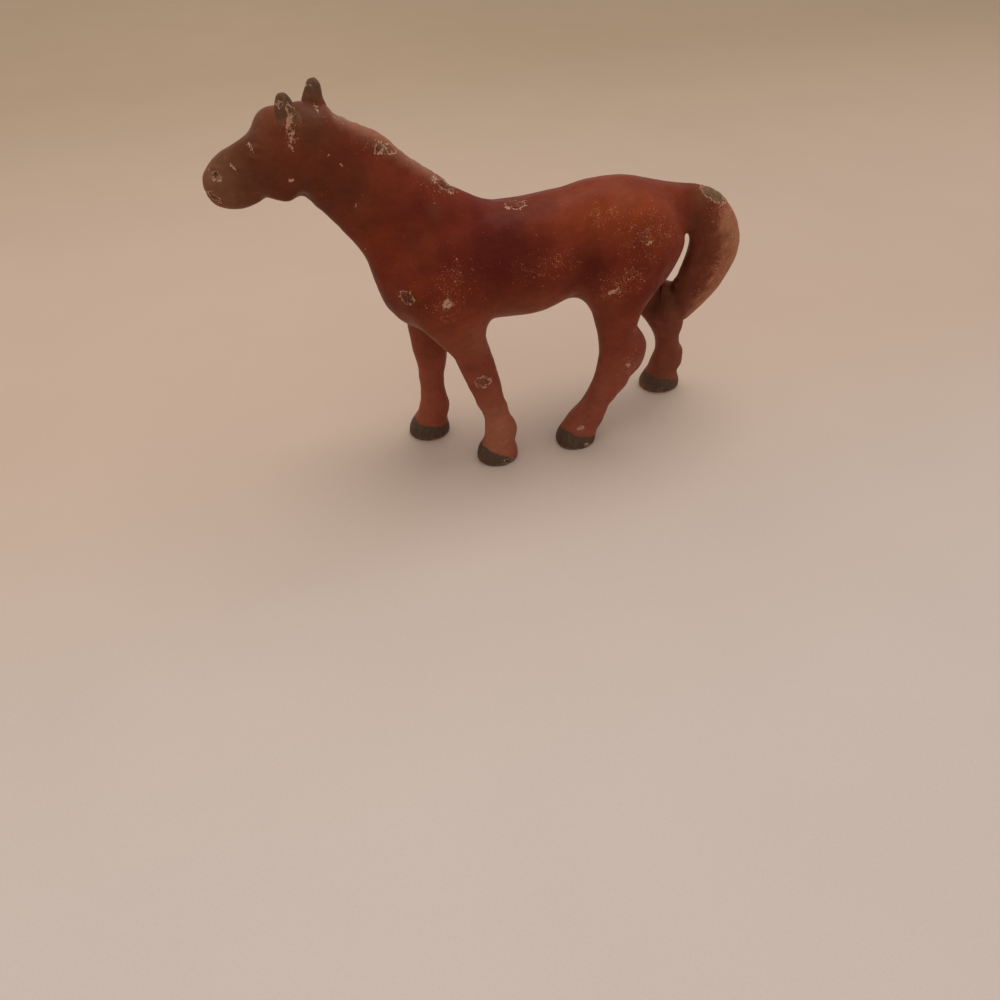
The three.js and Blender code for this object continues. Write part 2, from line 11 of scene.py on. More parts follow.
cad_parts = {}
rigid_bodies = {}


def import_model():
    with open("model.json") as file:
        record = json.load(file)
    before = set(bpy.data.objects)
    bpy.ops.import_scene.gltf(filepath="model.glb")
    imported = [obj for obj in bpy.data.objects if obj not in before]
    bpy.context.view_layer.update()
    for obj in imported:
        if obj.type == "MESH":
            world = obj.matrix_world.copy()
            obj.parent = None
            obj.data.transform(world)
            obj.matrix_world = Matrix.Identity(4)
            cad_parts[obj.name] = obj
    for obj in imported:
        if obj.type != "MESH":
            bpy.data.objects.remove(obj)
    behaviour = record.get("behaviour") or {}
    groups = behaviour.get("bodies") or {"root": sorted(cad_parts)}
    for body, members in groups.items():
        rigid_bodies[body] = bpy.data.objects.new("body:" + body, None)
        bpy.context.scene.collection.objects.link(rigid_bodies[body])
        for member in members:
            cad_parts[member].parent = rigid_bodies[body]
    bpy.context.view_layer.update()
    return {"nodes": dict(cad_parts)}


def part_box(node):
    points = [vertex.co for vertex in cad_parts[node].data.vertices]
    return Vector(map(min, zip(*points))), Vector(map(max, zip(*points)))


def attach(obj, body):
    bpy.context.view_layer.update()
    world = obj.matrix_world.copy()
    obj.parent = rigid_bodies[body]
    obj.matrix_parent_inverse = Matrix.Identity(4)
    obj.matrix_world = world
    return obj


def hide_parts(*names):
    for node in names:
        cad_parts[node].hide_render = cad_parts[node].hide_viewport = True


# A cast metal toy horse, hand painted and worn. Places and sizes are in millimetres in the frame of the
# CAD model: +X to the nose, +Y to the horse's left, +Z up. The scene itself is in metres.
MM = 0.001

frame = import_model()
scene = bpy.context.scene

# Camera
CAMERA_PLACE = (40.6, 116.4, 97.7)
CAMERA_DIP = 43.5  # degrees below the horizon
CAMERA_TURN = 161.5  # degrees about the upright, from looking along +Y
FOCAL_SHARE = 0.751  # focal length over the picture's width

# Skin
VOXEL = 0.3
WELD = 0.0003  # corners of the CAD pieces nearer than this are made one
SMOOTHING = (5, 14, 40)  # rounds on the head, on legs and tail, and on trunk and neck
RELIEF_ROUNDS = 14  # how broad a form is before it no longer counts as a ridge or a hollow
REFINED_FROM = (27, 51.5)  # the skin ahead of and above this gets finer faces
WAVES = 14  # that make up the random ripples

# Head: sculpted nose forward and turned about the poll
POLL = (31, 0, 60.45)
HEAD_TURN = -12  # degrees

# Flat faces of the CAD pieces
ROUGHLY = 0.8  # cosine between like directions
EXACTLY = 0.9999
ONE_LEVEL = 0.01
TRIED_FACES = 60

# Where the skin is cut into pieces, besides the flat faces of the CAD pieces
MIDDLE = (-7.7, 0.04, 0)  # between fore and hind, left and right
TAIL_ON_HOCK = (-37.3, -4, 19.7)  # the end of the tail is cast onto the right hock
TAIL_OFF_HOCK = (-0.32, 0.93, 0.16)
EAR_ROOT_SHARE = -0.28  # of the ear's height, from its middle
EAR_ROOT_UP = (0.1, 0.25, 1)  # direction of the left ear's plane
EAR_ROOM = 0.6  # around the CAD ear
BLOCK = 300  # edge of the block that fills one side of a plane
LOW_CORNER = (-80, -40, -5)  # of a box around the legs
HIGH_CORNER = (80, 40)
SEEN_ON_SKIN = 0.002  # how near a corner must be to count as on the skin
ALIKE = 0.3  # cosine between a face's direction and the skin's, above which it is part of the skin
SLIVER = 0.01  # area below which a face's direction can't be trusted
TINY_EDGE = 0.0005  # edges shorter than this are closed up


def on_head(forward, out, up):
    """A place on the head, given from the poll as if the head looked straight ahead."""
    turn = math.radians(HEAD_TURN)
    x = POLL[0] + forward * math.cos(turn) - out * math.sin(turn)
    y = POLL[1] + forward * math.sin(turn) + out * math.cos(turn)
    return x, y, POLL[2] + up


# Lines that the hair follows
CREST = [(8.5, 0, 51.2), (13, 0, 54.4), (18, 0, 58.4), (22.5, 0, 61.4), (27, 0, 64)]
TAIL_LINE = [
    (-29.1, 0, 44.3), (-33.6, 0, 43.5), (-37.3, 0, 41.9), (-40.3, -0.2, 38.2),
    (-41.2, -0.6, 33.7), (-40.5, -1.4, 28.4), (-39.1, -2.4, 23.4), (-38.1, -3, 19.9),
]

# Metal that ran between tail and right leg in the casting, and the right buttock: middle and radii
WEBS = [
    ((-35.8, -4.2, 21.2), (3.2, 2.9, 4.8)),
    ((-36.6, -3.8, 24), (2, 2.2, 2.3)),
    ((-31.8, -6.3, 28.6), (2.9, 3.4, 4.6)),
    ((-36.2, -2.4, 26.6), (1, 1.4, 1.3)),
    ((-34.2, -4.3, 24.6), (1.6, 1.2, 1.8)),
]
# Plane that slants the top of the right hind leg off to the rear
LEG_SLANT = (-35.46, -4.5, 26.14)
LEG_SLANT_UP = (-0.555, -0.129, 0.821)
BLEND = ((-35.8, -4.8, 23), (5, 5, 8.5))  # where tail, leg and trunk run into each other

# Zones: where each is absent, then where it is full, along X, Z or a line of hair (RUN), or off it (OFF)
HEAD_X = (24, 29)  # at HEAD_LEVEL, and further back above it by HEAD_LEAN
HEAD_Z = (48, 52)
HEAD_LEVEL = 55
HEAD_LEAN = 0.9
TRUNK_X = (-34, -29)
TRUNK_Z = (24, 31)
MANE_X = (27.5, 26)
MANE_Z = (49, 51)
MANE_RUN = (0, 2)
MANE_OFF = (3.4, 2.2)
TAIL_X = (-33.5, -35.5)
TAIL_RUN = (3, 9)
TAIL_OFF = (8, 7)
SEAM_FRONT_X = (24, 20)
SEAM_REAR_X = (-38, -34)
SEAM_Z = (24, 27)
SEAM_TURN = (0.5, 0.2)  # the seam runs where the skin faces neither side
# Pinker along the crest: rubbed paint and a painted highlight
CREST_WEAR_SHEEN_X = (28, 26)
CREST_WEAR_SHEEN_RUN = (0, 8)
CREST_WEAR_SHEEN_OFF = (3.2, 0.8)
TAIL_PAINT_X = (-31.5, -35)
TAIL_PAINT_Z = (18.5, 20.5)
TAIL_PAINT_OFF = (6.5, 5.5)

# Random ripples: wavelength, height and seed
BROAD_RIPPLES = (7, 0.05, 1)
FINE_RIPPLES = (2.6, 0.016, 2)
SEAM_FILED = (9, 0.6, 5)
PAINT_PATCHES = (16, 0.22, 11)
PAINT_BLOTS = (6, 0.14, 12)
TAIL_PATCHES = (2.4, 0.6, 31)

# Fine forms
HAIR_WAVES = (0.035, 0.02)  # height of the broad and of the narrow waves of mane and tail
LOCK = 2.6  # width of a lock of the mane
THIN_LOCK = 1.1
MANE_END = (2.5, 0.25, 0.4, -0.05)  # its edge: distance from the crest, swing, width and height
SEAM = (0.16, 0.09)  # width and height

# Swellings and hollows of the trunk, alike on both sides: place, radii, height
MUSCLES = [
    ((17.5, 6.8, 44.5), (1.6, 2.5, 4.5), -0.28),  # groove in front of the shoulder
    ((13, 8, 46), (2.6, 3, 4), 0.18),  # shoulder blade
    ((12.5, 9.4, 38), (3.4, 3, 3.6), 0.22),  # point of the shoulder
    ((5.2, 8.6, 38.5), (2.4, 3, 6.5), -0.3),  # behind the shoulder
    ((-10.5, 8.4, 38.5), (2.4, 3, 4), -0.35),  # hollow of the flank
    ((-13.8, 7.5, 45), (1.6, 2.5, 2.6), -0.2),  # in front of the hip
    ((-17, 7.2, 46.4), (2, 2.5, 1.6), 0.22),  # point of the hip
    ((-16.6, 10.6, 35.2), (2.6, 2.5, 3), 0.25),  # stifle
    ((-23.5, 9.6, 38), (1.1, 2.5, 6), -0.2),  # groove down the thigh
    ((-27.5, 7.6, 40), (2.6, 2.5, 4), 0.15),  # buttock
    ((10.2, 0.6, 52.4), (2.4, 2, 1.6), 0.22),  # withers
    ((7.2, 1, 50.2), (3.6, 2.6, 2.4), 0.38),
    ((-12.5, 1.6, 49), (5, 2.6, 2), 0.2),  # loins
    ((-3.5, 6, 31), (5, 3.5, 2.5), 0.45),  # belly
    ((-11.2, 5.5, 32.2), (2, 3, 2), -0.4),  # fold of the flank
    ((20.5, 0.6, 60.6), (3.5, 1.2, 2.5), 0.18),  # crest
]

# The same on the legs and around them, each where it stands
LEG_FORMS = [
    ((7.9, 6.2, 13.6), (1.3, 2.6, 1.5), 0.22),  # left knee: front
    ((5.3, 8.4, 13.4), (1.6, 1.2, 1.5), 0.16),  # side
    ((3.2, 6.2, 12.6), (1, 1.6, 1), 0.14),  # back
    ((4.4, 8.3, 10.2), (0.5, 1, 2.6), -0.1),  # groove before the tendon
    ((2, 6.2, 7.2), (1.1, 1.8, 1.1), 0.18),  # fetlock
    ((1.4, 6.4, 6.4), (1.3, 2.4, 2.2), 0.35),  # pastern: back
    ((6.8, 6.2, 7.4), (1.3, 2.6, 2.4), 0.3),  # front
    ((12.4, 7.4, 24.5), (1.6, 2.6, 3.4), -0.5),  # front of the forearm
    ((16.8, -5.6, 19.5), (1.3, 2.6, 3.2), 0.45),  # front of the right forearm
    ((11.6, -5.4, 6.2), (1.2, 2.2, 2.4), 0.45),  # right pastern: back
    ((15.6, -6.1, 13.2), (1.3, 2.4, 1.5), 0.2),  # right knee: front
    ((13.7, -8.2, 13.2), (1.6, 1.2, 1.5), 0.15),  # side
    ((11.8, -6.1, 12.6), (1, 1.6, 1), 0.14),  # back
    ((12, -6.1, 6.8), (1.1, 1.8, 1.1), 0.18),  # fetlock
    ((-24.4, 7.4, 20.3), (1.2, 2, 1.6), 0.35),  # left hock: point
    ((-20, 8.7, 17), (1.6, 1.2, 1.6), 0.16),  # side
    ((-17.4, 8.6, 13), (0.6, 1, 2.6), -0.1),  # groove before the tendon
    ((-23.5, 7.2, 14.5), (1.7, 3, 3.6), -0.95),  # hollow below the hock
    ((-17.4, 6.6, 7.2), (1.4, 2.6, 2.8), 0.85),  # fetlock
    ((-18.6, 6.8, 10.4), (1.3, 2.6, 1.2), 0.5),  # above it
    ((-17, 6.8, 4.4), (1.4, 2.6, 1.9), 0.7),  # back of the pastern
    ((-31, 4.6, 38.6), (1.8, 3, 2.6), 0.7),  # left buttock
    ((-26.8, 8.4, 34.4), (1.8, 2.6, 1.8), -0.6),  # rear of the left thigh, below the buttock
    ((-23.4, 8.4, 27), (1.6, 3, 2.4), -0.8),  # above the hock
    ((-24.4, 8.4, 29.6), (1.7, 3, 1.9), -0.9),  # and between the two
    ((-26.4, 8, 31.8), (2, 2.8, 2.2), -1.2),
    ((-35.7, -1.3, 28.2), (1.6, 2.4, 2), 0.35),  # inner side of the tail
    ((-40.4, -6.2, 18), (1.1, 1.5, 1.5), 0.2),  # right hock: point
    ((-37.2, -8.8, 16.6), (1.6, 1.2, 1.6), 0.16),  # side
    ((-41.6, -6, 10.4), (1.3, 2.6, 1.8), -0.75),  # hollow above the fetlock
    ((-41.4, -5.6, 5.6), (1.2, 2.2, 1.4), 0.55),  # fetlock
    ((-13.2, 6.4, 9.6), (1.4, 2.6, 2.6), -0.5),  # front of the left fetlock
    ((-31.4, -5, 20.6), (1.8, 2.6, 3.2), -0.75),  # front of the right gaskin
    ((-34.2, -6.4, 1.8), (1.4, 3, 2), 0.4),  # right hoof: front
    ((-41.2, -5.2, 1.2), (1.4, 2.6, 1.6), 0.4),  # back
    ((-37.5, -3.2, 1), (3, 1.4, 1.6), 0.3),  # inner side
]

# The face, from the poll: forward, out and up, then radii and height, alike on both sides
FACE_FORMS = [
    ((6.9, 3.2, -0.3), (1.5, 1.4, 1.1), -0.3),  # socket of the eye
    ((6.9, 3.3, -0.4), (0.75, 1.2, 0.5), 0.42),  # eyeball
    ((6.6, 3, 0.75), (1.2, 1.2, 0.35), 0.3),  # upper lid and brow
    ((9.8, 2.6, -2), (2.2, 1.2, 0.5), 0.16),  # bone of the cheek
    ((8.6, 2.6, -4.6), (0.8, 1.2, 2.2), -0.22),  # front edge of the jowl
    ((3.4, 2.6, -6.4), (1.4, 1.6, 1), 0.25),  # bottom of the jowl
    ((1.6, 2.2, -7), (1.1, 3, 1.6), -0.8),  # notch behind it
    ((13.4, 2, -2.9), (0.55, 0.9, 0.45), -0.35),  # nostril
    ((13, 1.9, -2.2), (0.9, 0.9, 0.4), 0.2),  # its rim
    ((13.6, 1.2, -7), (1, 1.5, 0.8), 0.15),  # lower lip
    ((5.2, 0.8, 4.2), (1.8, 1.6, 1.6), 0.25),  # forehead
]
# The root of the right ear spreads to the front and to the back
EAR_ROOTS = [
    ((30.7, -1.2, 65.8), (1.1, 1.7, 0.8), 0.25),
    ((27.4, -1.9, 64.5), (1.2, 1.9, 0.9), 0.55),
    ((27.8, -2.7, 67.4), (0.9, 1.6, 1.6), 0.25),
    ((27.8, -2.2, 65.2), (0.9, 1.6, 1.6), 0.35),
]
# The hollow of each ear, in shares of the ear: place (out from its middle) and radii, then its depth
EAR_CUP = ((0.62, 0.3, 0.52), (0.3, 0.3, 0.26), -0.4)
MOUTH = [(15.6, 0, -5.7), (14.6, 1.9, -6), (13, 2.6, -6.3), (11.4, 2.8, -6.9)]
MOUTH_GROOVE = (0.28, 0.2)  # width and depth


def paint(red, green, blue):
    """A colour given as on a screen, 0 to 255, in the linear values that shaders take."""
    shares = [channel / 255 for channel in (red, green, blue)]
    return (*[c / 12.92 if c <= 0.04045 else ((c + 0.055) / 1.055) ** 2.4 for c in shares], 1)


# Paint and metal
DEEP_RED = paint(94, 30, 19)
WARM_BROWN = paint(120, 48, 26)
# Painted shade on the red coat
SHADE_MAROON = paint(66, 16, 12)
ORANGE = paint(134, 58, 26)
OLIVE = paint(84, 50, 30)
TAN = paint(160, 106, 78)
LEG_RED = paint(144, 80, 61)
MUZZLE = paint(150, 110, 82)
EAR_BROWN = paint(118, 80, 56)
# Pink of rubbed paint on ridges and chip rims, along the crest also a painted highlight
PINK_WEAR_AND_SHEEN = paint(158, 112, 90)
PALE_PRIMER = paint(208, 166, 140)
SPECK = paint(200, 126, 94)
TAIL_WORN_AND_SHEEN = paint(160, 108, 78)
BARE_METAL = paint(112, 86, 62)
DARK_METAL = paint(56, 38, 28)
BLACK = paint(82, 62, 49)
# Painted shade: the darkest brown, in hollows and between the parts
GREY_WORN = paint(112, 98, 80)
SHADE_BROWN = paint(38, 20, 15)
# The paper from far to near, darker far off as painted shade, and how much painted shade darkens it to the
# right
PAPER = [(-320, paint(178, 153, 128)), (-30, paint(203, 178, 160)), (80, paint(208, 193, 184))]
PAPER_DIM = 0.11
PAPER_DIM_X = (-160, 60)
PAPER_CLOUD = 30  # size of its faint clouds and of its grain
PAPER_GRAIN = 0.35

# Finish of each slot: gloss as roughness, share of speckles, run of the brush as shares along x, y and z
FINISHES = {
    "coat": (0.42, 1, (0.5, 1, 1)),
    "mane": (0.44, 1.2, (1, 1, 0.6)),
    "tail": (0.44, 1.2, (1, 1, 0.35)),
    "hooves": (0.5, 0.4, (1, 1, 0.9)),
    "ears": (0.45, 0.8, (1, 1, 0.5)),
}
SLOTS = {"mane": "mane", "tail": "tail", "hoof": "hooves", "ear": "ears"}  # the rest is coat
SPECKLES = [(0.34, 0.4), (0.22, 0.8), (0.15, 1)]  # size of the cells, share of them worn through
CHIP_RIM = 0.3  # width of the pale rim

# Size of each kind of blotch in the enamel
BLOTCH = 2.4
FINE = 0.45
BRUSH_MARK = 0.9
STREAK = 0.7
SPECKLE_CLUSTER = 1.9
RAGGED_EDGE = 0.9
JAGGED_EDGE = 0.35
FLAKE = 0.4
THREAD = 0.6
DULL_PATCH = 1.7

# Setting
PAPER_SIZE = 1.5
AIM = (0, 0, 25)
KEY_PLACE = (-0.15, -0.13, 0.78)
KEY_SIZE = 0.6
KEY_POWER = 2.52
KEY_COLOUR = (1, 0.98, 0.95)
ROOM_COLOUR = (1, 0.96, 0.9)
ROOM_LIGHT = 0.62

# Tints of the coat: place, radii, colour, strength. Alike on both sides.
TINTS = [
    ((40, 0, 57.5), (11, 8, 9), OLIVE, 0.7),
    # Orange on top of the rump: a lighter tone of the coat, partly a painted highlight
    ((-18, 6, 46), (11, 7, 5), ORANGE, 0.7),
    # Painted shade in the hollows behind the shoulder, in the flank and on the thigh
    ((3.5, 7.5, 42.5), (7, 5, 6.5), SHADE_MAROON, 0.7),
    ((-12, 8, 38.5), (3.5, 4, 4.5), SHADE_MAROON, 0.7),
    ((-20, 9.5, 41.5), (3, 3, 4), SHADE_MAROON, 0.35),
    ((17.5, 6, 45.5), (2.5, 2.5, 5), OLIVE, 0.2),
    ((28, 2, 54), (7, 6, 6), OLIVE, 0.4),
    ((20, 4, 34), (6, 6, 4), OLIVE, 0.3),
    # Painted light: the belly lighter, as if lit from below by the paper
    ((0, 0, 29), (16, 10, 5), TAN, 0.75),
]
# Tints where the horse shows one side only
LOCAL_TINTS = [
    (on_head(13.5, 0, -4.5), (4, 4, 5), MUZZLE, 0.45),
    (on_head(5.5, 0, 3.4), (3.5, 3.5, 2.5), MUZZLE, 0.25),
    ((13.9, 4.6, 50.2), (1.3, 2, 1.3), OLIVE, 0.6),
    ((5, 7.5, 7.5), (4.5, 4.5, 6.5), TAN, 0.85),
    ((15.2, -6, 9), (4, 4, 8), ORANGE, 0.5),
    ((-34.5, 0, 44.5), (4, 5, 4), OLIVE, 0.55),
    ((30, 0.8, 64), (3.2, 5, 4), OLIVE, 0.9),
    # painted shade in the slit between the tail and the left thigh
    ((-37.6, 1.7, 33.4), (0.8, 1.2, 1.3), SHADE_BROWN, 0.5),
]

TAIL_METAL = ((-37.6, 1.4, 45.6), (3.2, 2.2, 1.2))  # worn to the metal on top of the tail
SHADE_UNDER_TAIL = ((-34.5, -3, 23.5), (4.5, 4, 6))  # painted shade between the tail and the right leg

# Black paint on each hoof: place along, side, height of the coronet there, and its rise to the front
HOOVES = [(4.32, 1, 2.4, 0.5), (15.2, -1, 3.1, 0.24), (-12.5, 1, 3, 0.3), (-37.95, -1, 3.1, 0.24)]
HOOF_REACH = 7  # the paint lies within this of the place
# Thin black paint on the ears, from a share of their height upward
BLACK_EARS = {"left_ear": 0.38, "right_ear": 0.68}
EAR_EDGE = 0.64  # where it ends off the ear's middle, as a share of the ear's size
EAR_FADE = 0.45  # how sharply it ends downward
EAR_SIDE = 1.5  # and sideways
EAR_COVER = 0.62  # how well it covers
EAR_TINT = 0.7  # strength of the brown around it
EAR_TINT_FADE = (-0.7, 0.1)
EARS_ABOVE = 30  # black paint above this height is an ear's
PAINT_REACH = 3.0  # distances from chips and black paint are kept up to this

BASE_WEAR = 0.005
# Speckled wear: place, radii, density. Alike on both sides.
WORN = [
    ((-22.6, 8.3, 43), (4.6, 6, 3), 0.75),
    ((-14.9, 5.5, 46.6), (3, 4, 1.6), 0.6),
    ((-15.7, 10, 34.8), (2.6, 2.5, 1.6), 1),
    ((-19, 10, 37.2), (3.6, 3, 1.4), 0.6),
    ((-4.6, 8.5, 40.6), (4.4, 3.5, 2.2), 0.5),
    ((11.8, 8.8, 41), (2.6, 3, 2.2), 0.5),
    ((13.8, 9.2, 36.9), (2.2, 2.5, 2.4), 1),
    ((12, 1, 53), (3, 2, 1.8), 0.5),
    ((20, 1.2, 59.6), (2.6, 1.6, 1.3), 0.6),
    ((27, 1, 64), (4, 1.6, 1.2), 0.3),
    ((33.1, 3.7, 64.2), (0.9, 1.4, 2.6), 1),
    ((-21.5, 9, 18.3), (1.6, 2, 2), 0.5),
    ((4.5, 8.6, 6.5), (2.5, 3, 2.5), 0.35),
    ((-40.6, 1.8, 43), (3.2, 3, 2.2), 1),
    ((-44, 1, 38), (2.4, 3, 7), 1.4),
    ((-42.4, -0.5, 28), (2.2, 3, 6), 1.2),
]

# Chips in the enamel: place, radii, tilt in the side view in degrees, and how bare the middle is
CHIPS = [
    # Head and ears
    (on_head(13.4, 1.8, -3.1), (0.8, 1.1, 0.65), 20, 0.45),
    (on_head(14.1, 1.9, -6.1), (1.1, 1.2, 0.55), 35, 0.6),
    (on_head(10.2, 2.3, -2.2), (0.42, 0.9, 0.12), 55, 0),
    (on_head(7.3, 2.7, 0.8), (0.42, 0.9, 0.26), 45, 0.5),
    (on_head(2.5, 4.4, -3.4), (0.2, 0.9, 0.2), 0, 0),
    ((33.9, 3.7, 66.9), (0.3, 0.8, 0.55), 10, 0.3),
    ((32.7, 3.6, 66.1), (0.5, 0.9, 0.8), -10, 0.4),
    ((33, 3.5, 64.6), (0.38, 0.9, 0.7), 5, 0),
    ((33.2, 3.4, 63.5), (0.6, 0.9, 0.55), 0, 0.45),
    ((33.1, 3.6, 62.4), (0.3, 0.9, 0.6), 8, 0.3),
    ((33.5, 3.7, 61.5), (0.4, 0.9, 0.5), -15, 0),
    # Trunk
    ((20.9, 1.9, 59.6), (0.95, 1.6, 0.85), 0, 0.6),
    ((19.3, 1.4, 59.1), (0.85, 1.6, 0.8), 0, 0.6),
    ((11.3, 1.6, 52.9), (2.3, 1.5, 0.65), 36, 0.45),
    ((-0.7, 1.2, 48.2), (1.9, 1.3, 0.8), 5, 0.15),
    ((19.9, 6.7, 37.8), (1.4, 1.8, 1.4), 0, 0.55),
    ((13.8, 9.2, 36.9), (0.75, 1, 0.75), 0, 0),
    # Legs
    ((7.7, 8.8, 20.2), (1.4, 1.4, 1.2), 15, 0.4),
    ((-21.1, 9, 17.9), (0.7, 1, 0.5), 0, 0),
    ((-12.4, 8.9, 4.9), (0.6, 1, 0.5), 0, 0),
    ((2.9, 9.5, 0.9), (1.3, 0.9, 0.7), 0, 0.3),
    ((-13.8, 9.8, 0.9), (0.9, 0.9, 0.3), 25, 0),
    ((-15.6, 10.1, 34.7), (1.1, 1.2, 0.4), -40, 0),
    ((29.3, -2, 67.5), (0.5, 1.2, 0.12), 5, 0),
    ((28.9, 0.2, 65.4), (0.16, 1.2, 0.45), -25, 0),
    # Scratches
    ((28.5, 4.2, 60.1), (0.45, 0.8, 0.06), -25, 0),
    ((25.6, 4, 52.5), (0.08, 0.8, 0.5), 10, 0),
    ((26.9, 3.9, 58.4), (0.04, 0.6, 0.04), 0, 0),
    ((24.9, 2.7, 44.8), (0.12, 0.8, 0.12), 0, 0),
    ((-22, 8.9, 42), (1.1, 1, 0.16), -8, 0),
    ((-37.7, 1.6, 45.5), (3.3, 2.4, 1.1), 34, 1),
    # The side away from the photograph
    ((-24, -8.6, 43), (1.5, 1.4, 1.1), 20, 0.55),
    ((17, -8, 42), (1.2, 1.4, 1.3), 0, 0.5),
    ((-2, -8.8, 37.5), (1.7, 1.2, 0.9), 10, 0.6),
    (on_head(3.2, -4.3, -3.8), (0.7, 0.9, 0.6), 0, 0.5),
    ((14.6, -8.6, 18), (0.8, 1.2, 1.1), 0, 0.5),
    ((-36.5, -8.9, 14), (0.7, 1.2, 0.9), 0, 0.4),
    ((3, -1, 28.9), (1.6, 1.2, 0.8), 0, 0.5),
]


# Skin: one fine mesh over all the CAD pieces


def read(items, name, width=1, kind=np.float32):
    """One property of all corners, edges or faces of a mesh, a row for each."""
    values = np.empty(width * len(items), dtype=kind)
    items.foreach_get(name, values)
    return values.reshape(-1, width) if width > 1 else values


def arrays_of(mesh):
    """The corners of a mesh in millimetres, and its triangles."""
    mesh.calc_loop_triangles()
    corners = read(mesh.vertices, "co", 3).astype(float) / MM
    return corners, read(mesh.loop_triangles, "vertices", 3, np.int32)


def box_of(node):
    """The lowest and the highest corner of a CAD piece, in millimetres."""
    return (np.array(corner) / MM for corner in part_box(node))


@contextmanager
def edited(mesh):
    """A mesh, opened to be edited."""
    bm = bmesh.new()
    bm.from_mesh(mesh)
    yield bm
    bm.to_mesh(mesh)
    bm.free()


def new_object(name, data):
    piece = bpy.data.objects.new(name, data)
    scene.collection.objects.link(piece)
    return piece


def evaluated(piece):
    """A new mesh of a piece with its modifiers applied."""
    return bpy.data.meshes.new_from_object(piece.evaluated_get(bpy.context.evaluated_depsgraph_get()))


def welded(mesh):
    """A mesh whose corners at the same place are made one."""
    with edited(mesh) as bm:
        bmesh.ops.remove_doubles(bm, verts=bm.verts, dist=WELD * MM)
    return mesh


def web_mesh(centre, radii):
    mesh = bpy.data.meshes.new("web")
    with edited(mesh) as bm:
        bmesh.ops.create_icosphere(bm, subdivisions=3, radius=MM)
        bmesh.ops.scale(bm, verts=bm.verts, vec=radii)
        bmesh.ops.translate(bm, verts=bm.verts, vec=Vector(centre) * MM)
    return mesh


def joined_nodes():
    """All the CAD pieces and the webs as one mesh of overlapping bodies."""
    parts = {name: welded(node.data.copy()) for name, node in frame["nodes"].items()}
    over = ahead_of(LEG_SLANT, LEG_SLANT_UP)
    parts["right_hind_leg"] = trimmed("solid", parts["right_hind_leg"], drop=[over]).data
    mesh = bpy.data.meshes.new("joined")
    with edited(mesh) as bm:
        for part in [*parts.values(), *[web_mesh(*web) for web in WEBS]]:
            bm.from_mesh(part)
    return mesh


def remeshed(mesh):
    piece = new_object("remeshed", mesh)
    change = piece.modifiers.new("voxels", "REMESH")
    change.mode = "VOXEL"
    change.voxel_size = VOXEL * MM
    result = evaluated(piece)
    bpy.data.objects.remove(piece)
    return result


class Skin:
    """A mesh as arrays: places in millimetres, normals and which corners are joined by an edge."""

    def __init__(self, mesh):
        self.mesh = mesh
        self.places, self.triangles = arrays_of(mesh)
        edges = read(mesh.edges, "vertices", 2, np.int32)
        self.ends = np.concatenate([edges, edges[:, ::-1]]).T
        self.links = np.bincount(self.ends[0], minlength=len(self.places))

    def relaxed(self, values, rounds):
        """Values that are drawn halfway to the mean of their neighbours, round after round."""
        start, end = self.ends
        for _ in range(rounds):
            sums = [np.bincount(start, weights=column[end], minlength=len(values)) for column in values.T]
            values = (values + np.stack(sums, axis=1) / self.links[:, None]) / 2
        return values

    def faired(self, rounds):
        """Places without their fine roughness. What the smoothing shrinks is given back."""
        smooth = self.relaxed(self.places, rounds)
        return 2 * smooth - self.relaxed(smooth, rounds)

    def store(self):
        self.mesh.vertices.foreach_set("co", (self.places * MM).astype(np.float32).ravel())
        self.mesh.update()

    def normals(self):
        self.store()
        return read(self.mesh.vertex_normals, "vector", 3).astype(float)

    def stand(self):
        """Lifts what lies below the floor onto it."""
        self.places[:, 2] = np.maximum(self.places[:, 2], 0)


def ramp(values, low, high):
    """0 up to low, 1 from high on. High may be the smaller one."""
    share = np.clip((values - low) / (high - low), 0, 1)
    return share * share * (3 - 2 * share)


def nearness(places, centre, radii):
    """1 at the centre, 0 far beyond the radii."""
    return np.exp(-(((places - centre) / radii) ** 2).sum(axis=1))


def mirrored(centre):
    """A place and, if it lies off the middle, the same on the other side."""
    return [centre, (centre[0], -centre[1], centre[2])] if centre[1] else [centre]


def near_both(places, centre, radii):
    return sum(nearness(places, spot, radii) for spot in mirrored(centre))


def smooth_skin(skin):
    """Takes the facets out of the skin."""
    fine, middle, broad = (skin.faired(rounds) for rounds in SMOOTHING)
    x, _, z = skin.places.T
    head = ramp(x + HEAD_LEAN * (z - HEAD_LEVEL), *HEAD_X) * ramp(z, *HEAD_Z)
    blend = nearness(skin.places, *BLEND)
    trunk = np.maximum(ramp(z, *TRUNK_Z) * ramp(x, *TRUNK_X), blend) * (1 - head)
    share = head[:, None]
    core = trunk[:, None]
    skin.places = share * fine + core * broad + (1 - share - core) * middle
    skin.stand()


def refined_head(mesh):
    """The faces of the head and ears, each split in four."""
    ahead, up = (limit * MM for limit in REFINED_FROM)
    with edited(mesh) as bm:
        edges = [e for e in bm.edges if all(v.co.x > ahead and v.co.z > up for v in e.verts)]
        bmesh.ops.subdivide_edges(bm, edges=edges, cuts=1, use_grid_fill=True)
        bmesh.ops.triangulate(bm, faces=[f for f in bm.faces if len(f.verts) > 4])
    return mesh


# Sculpting: heights in millimetres that are added along the skin's normals


def unevenness(places, wavelength, height, seed):
    """Soft random ripples in all directions, of about one wavelength."""
    chance = np.random.default_rng(seed)
    total = np.zeros(len(places))
    for _ in range(WAVES):
        direction = chance.normal(size=3)
        direction *= math.tau / wavelength / np.linalg.norm(direction) * chance.uniform(0.6, 1.5)
        total += np.sin(places @ direction + chance.uniform(0, math.tau))
    return height * total / math.sqrt(WAVES)


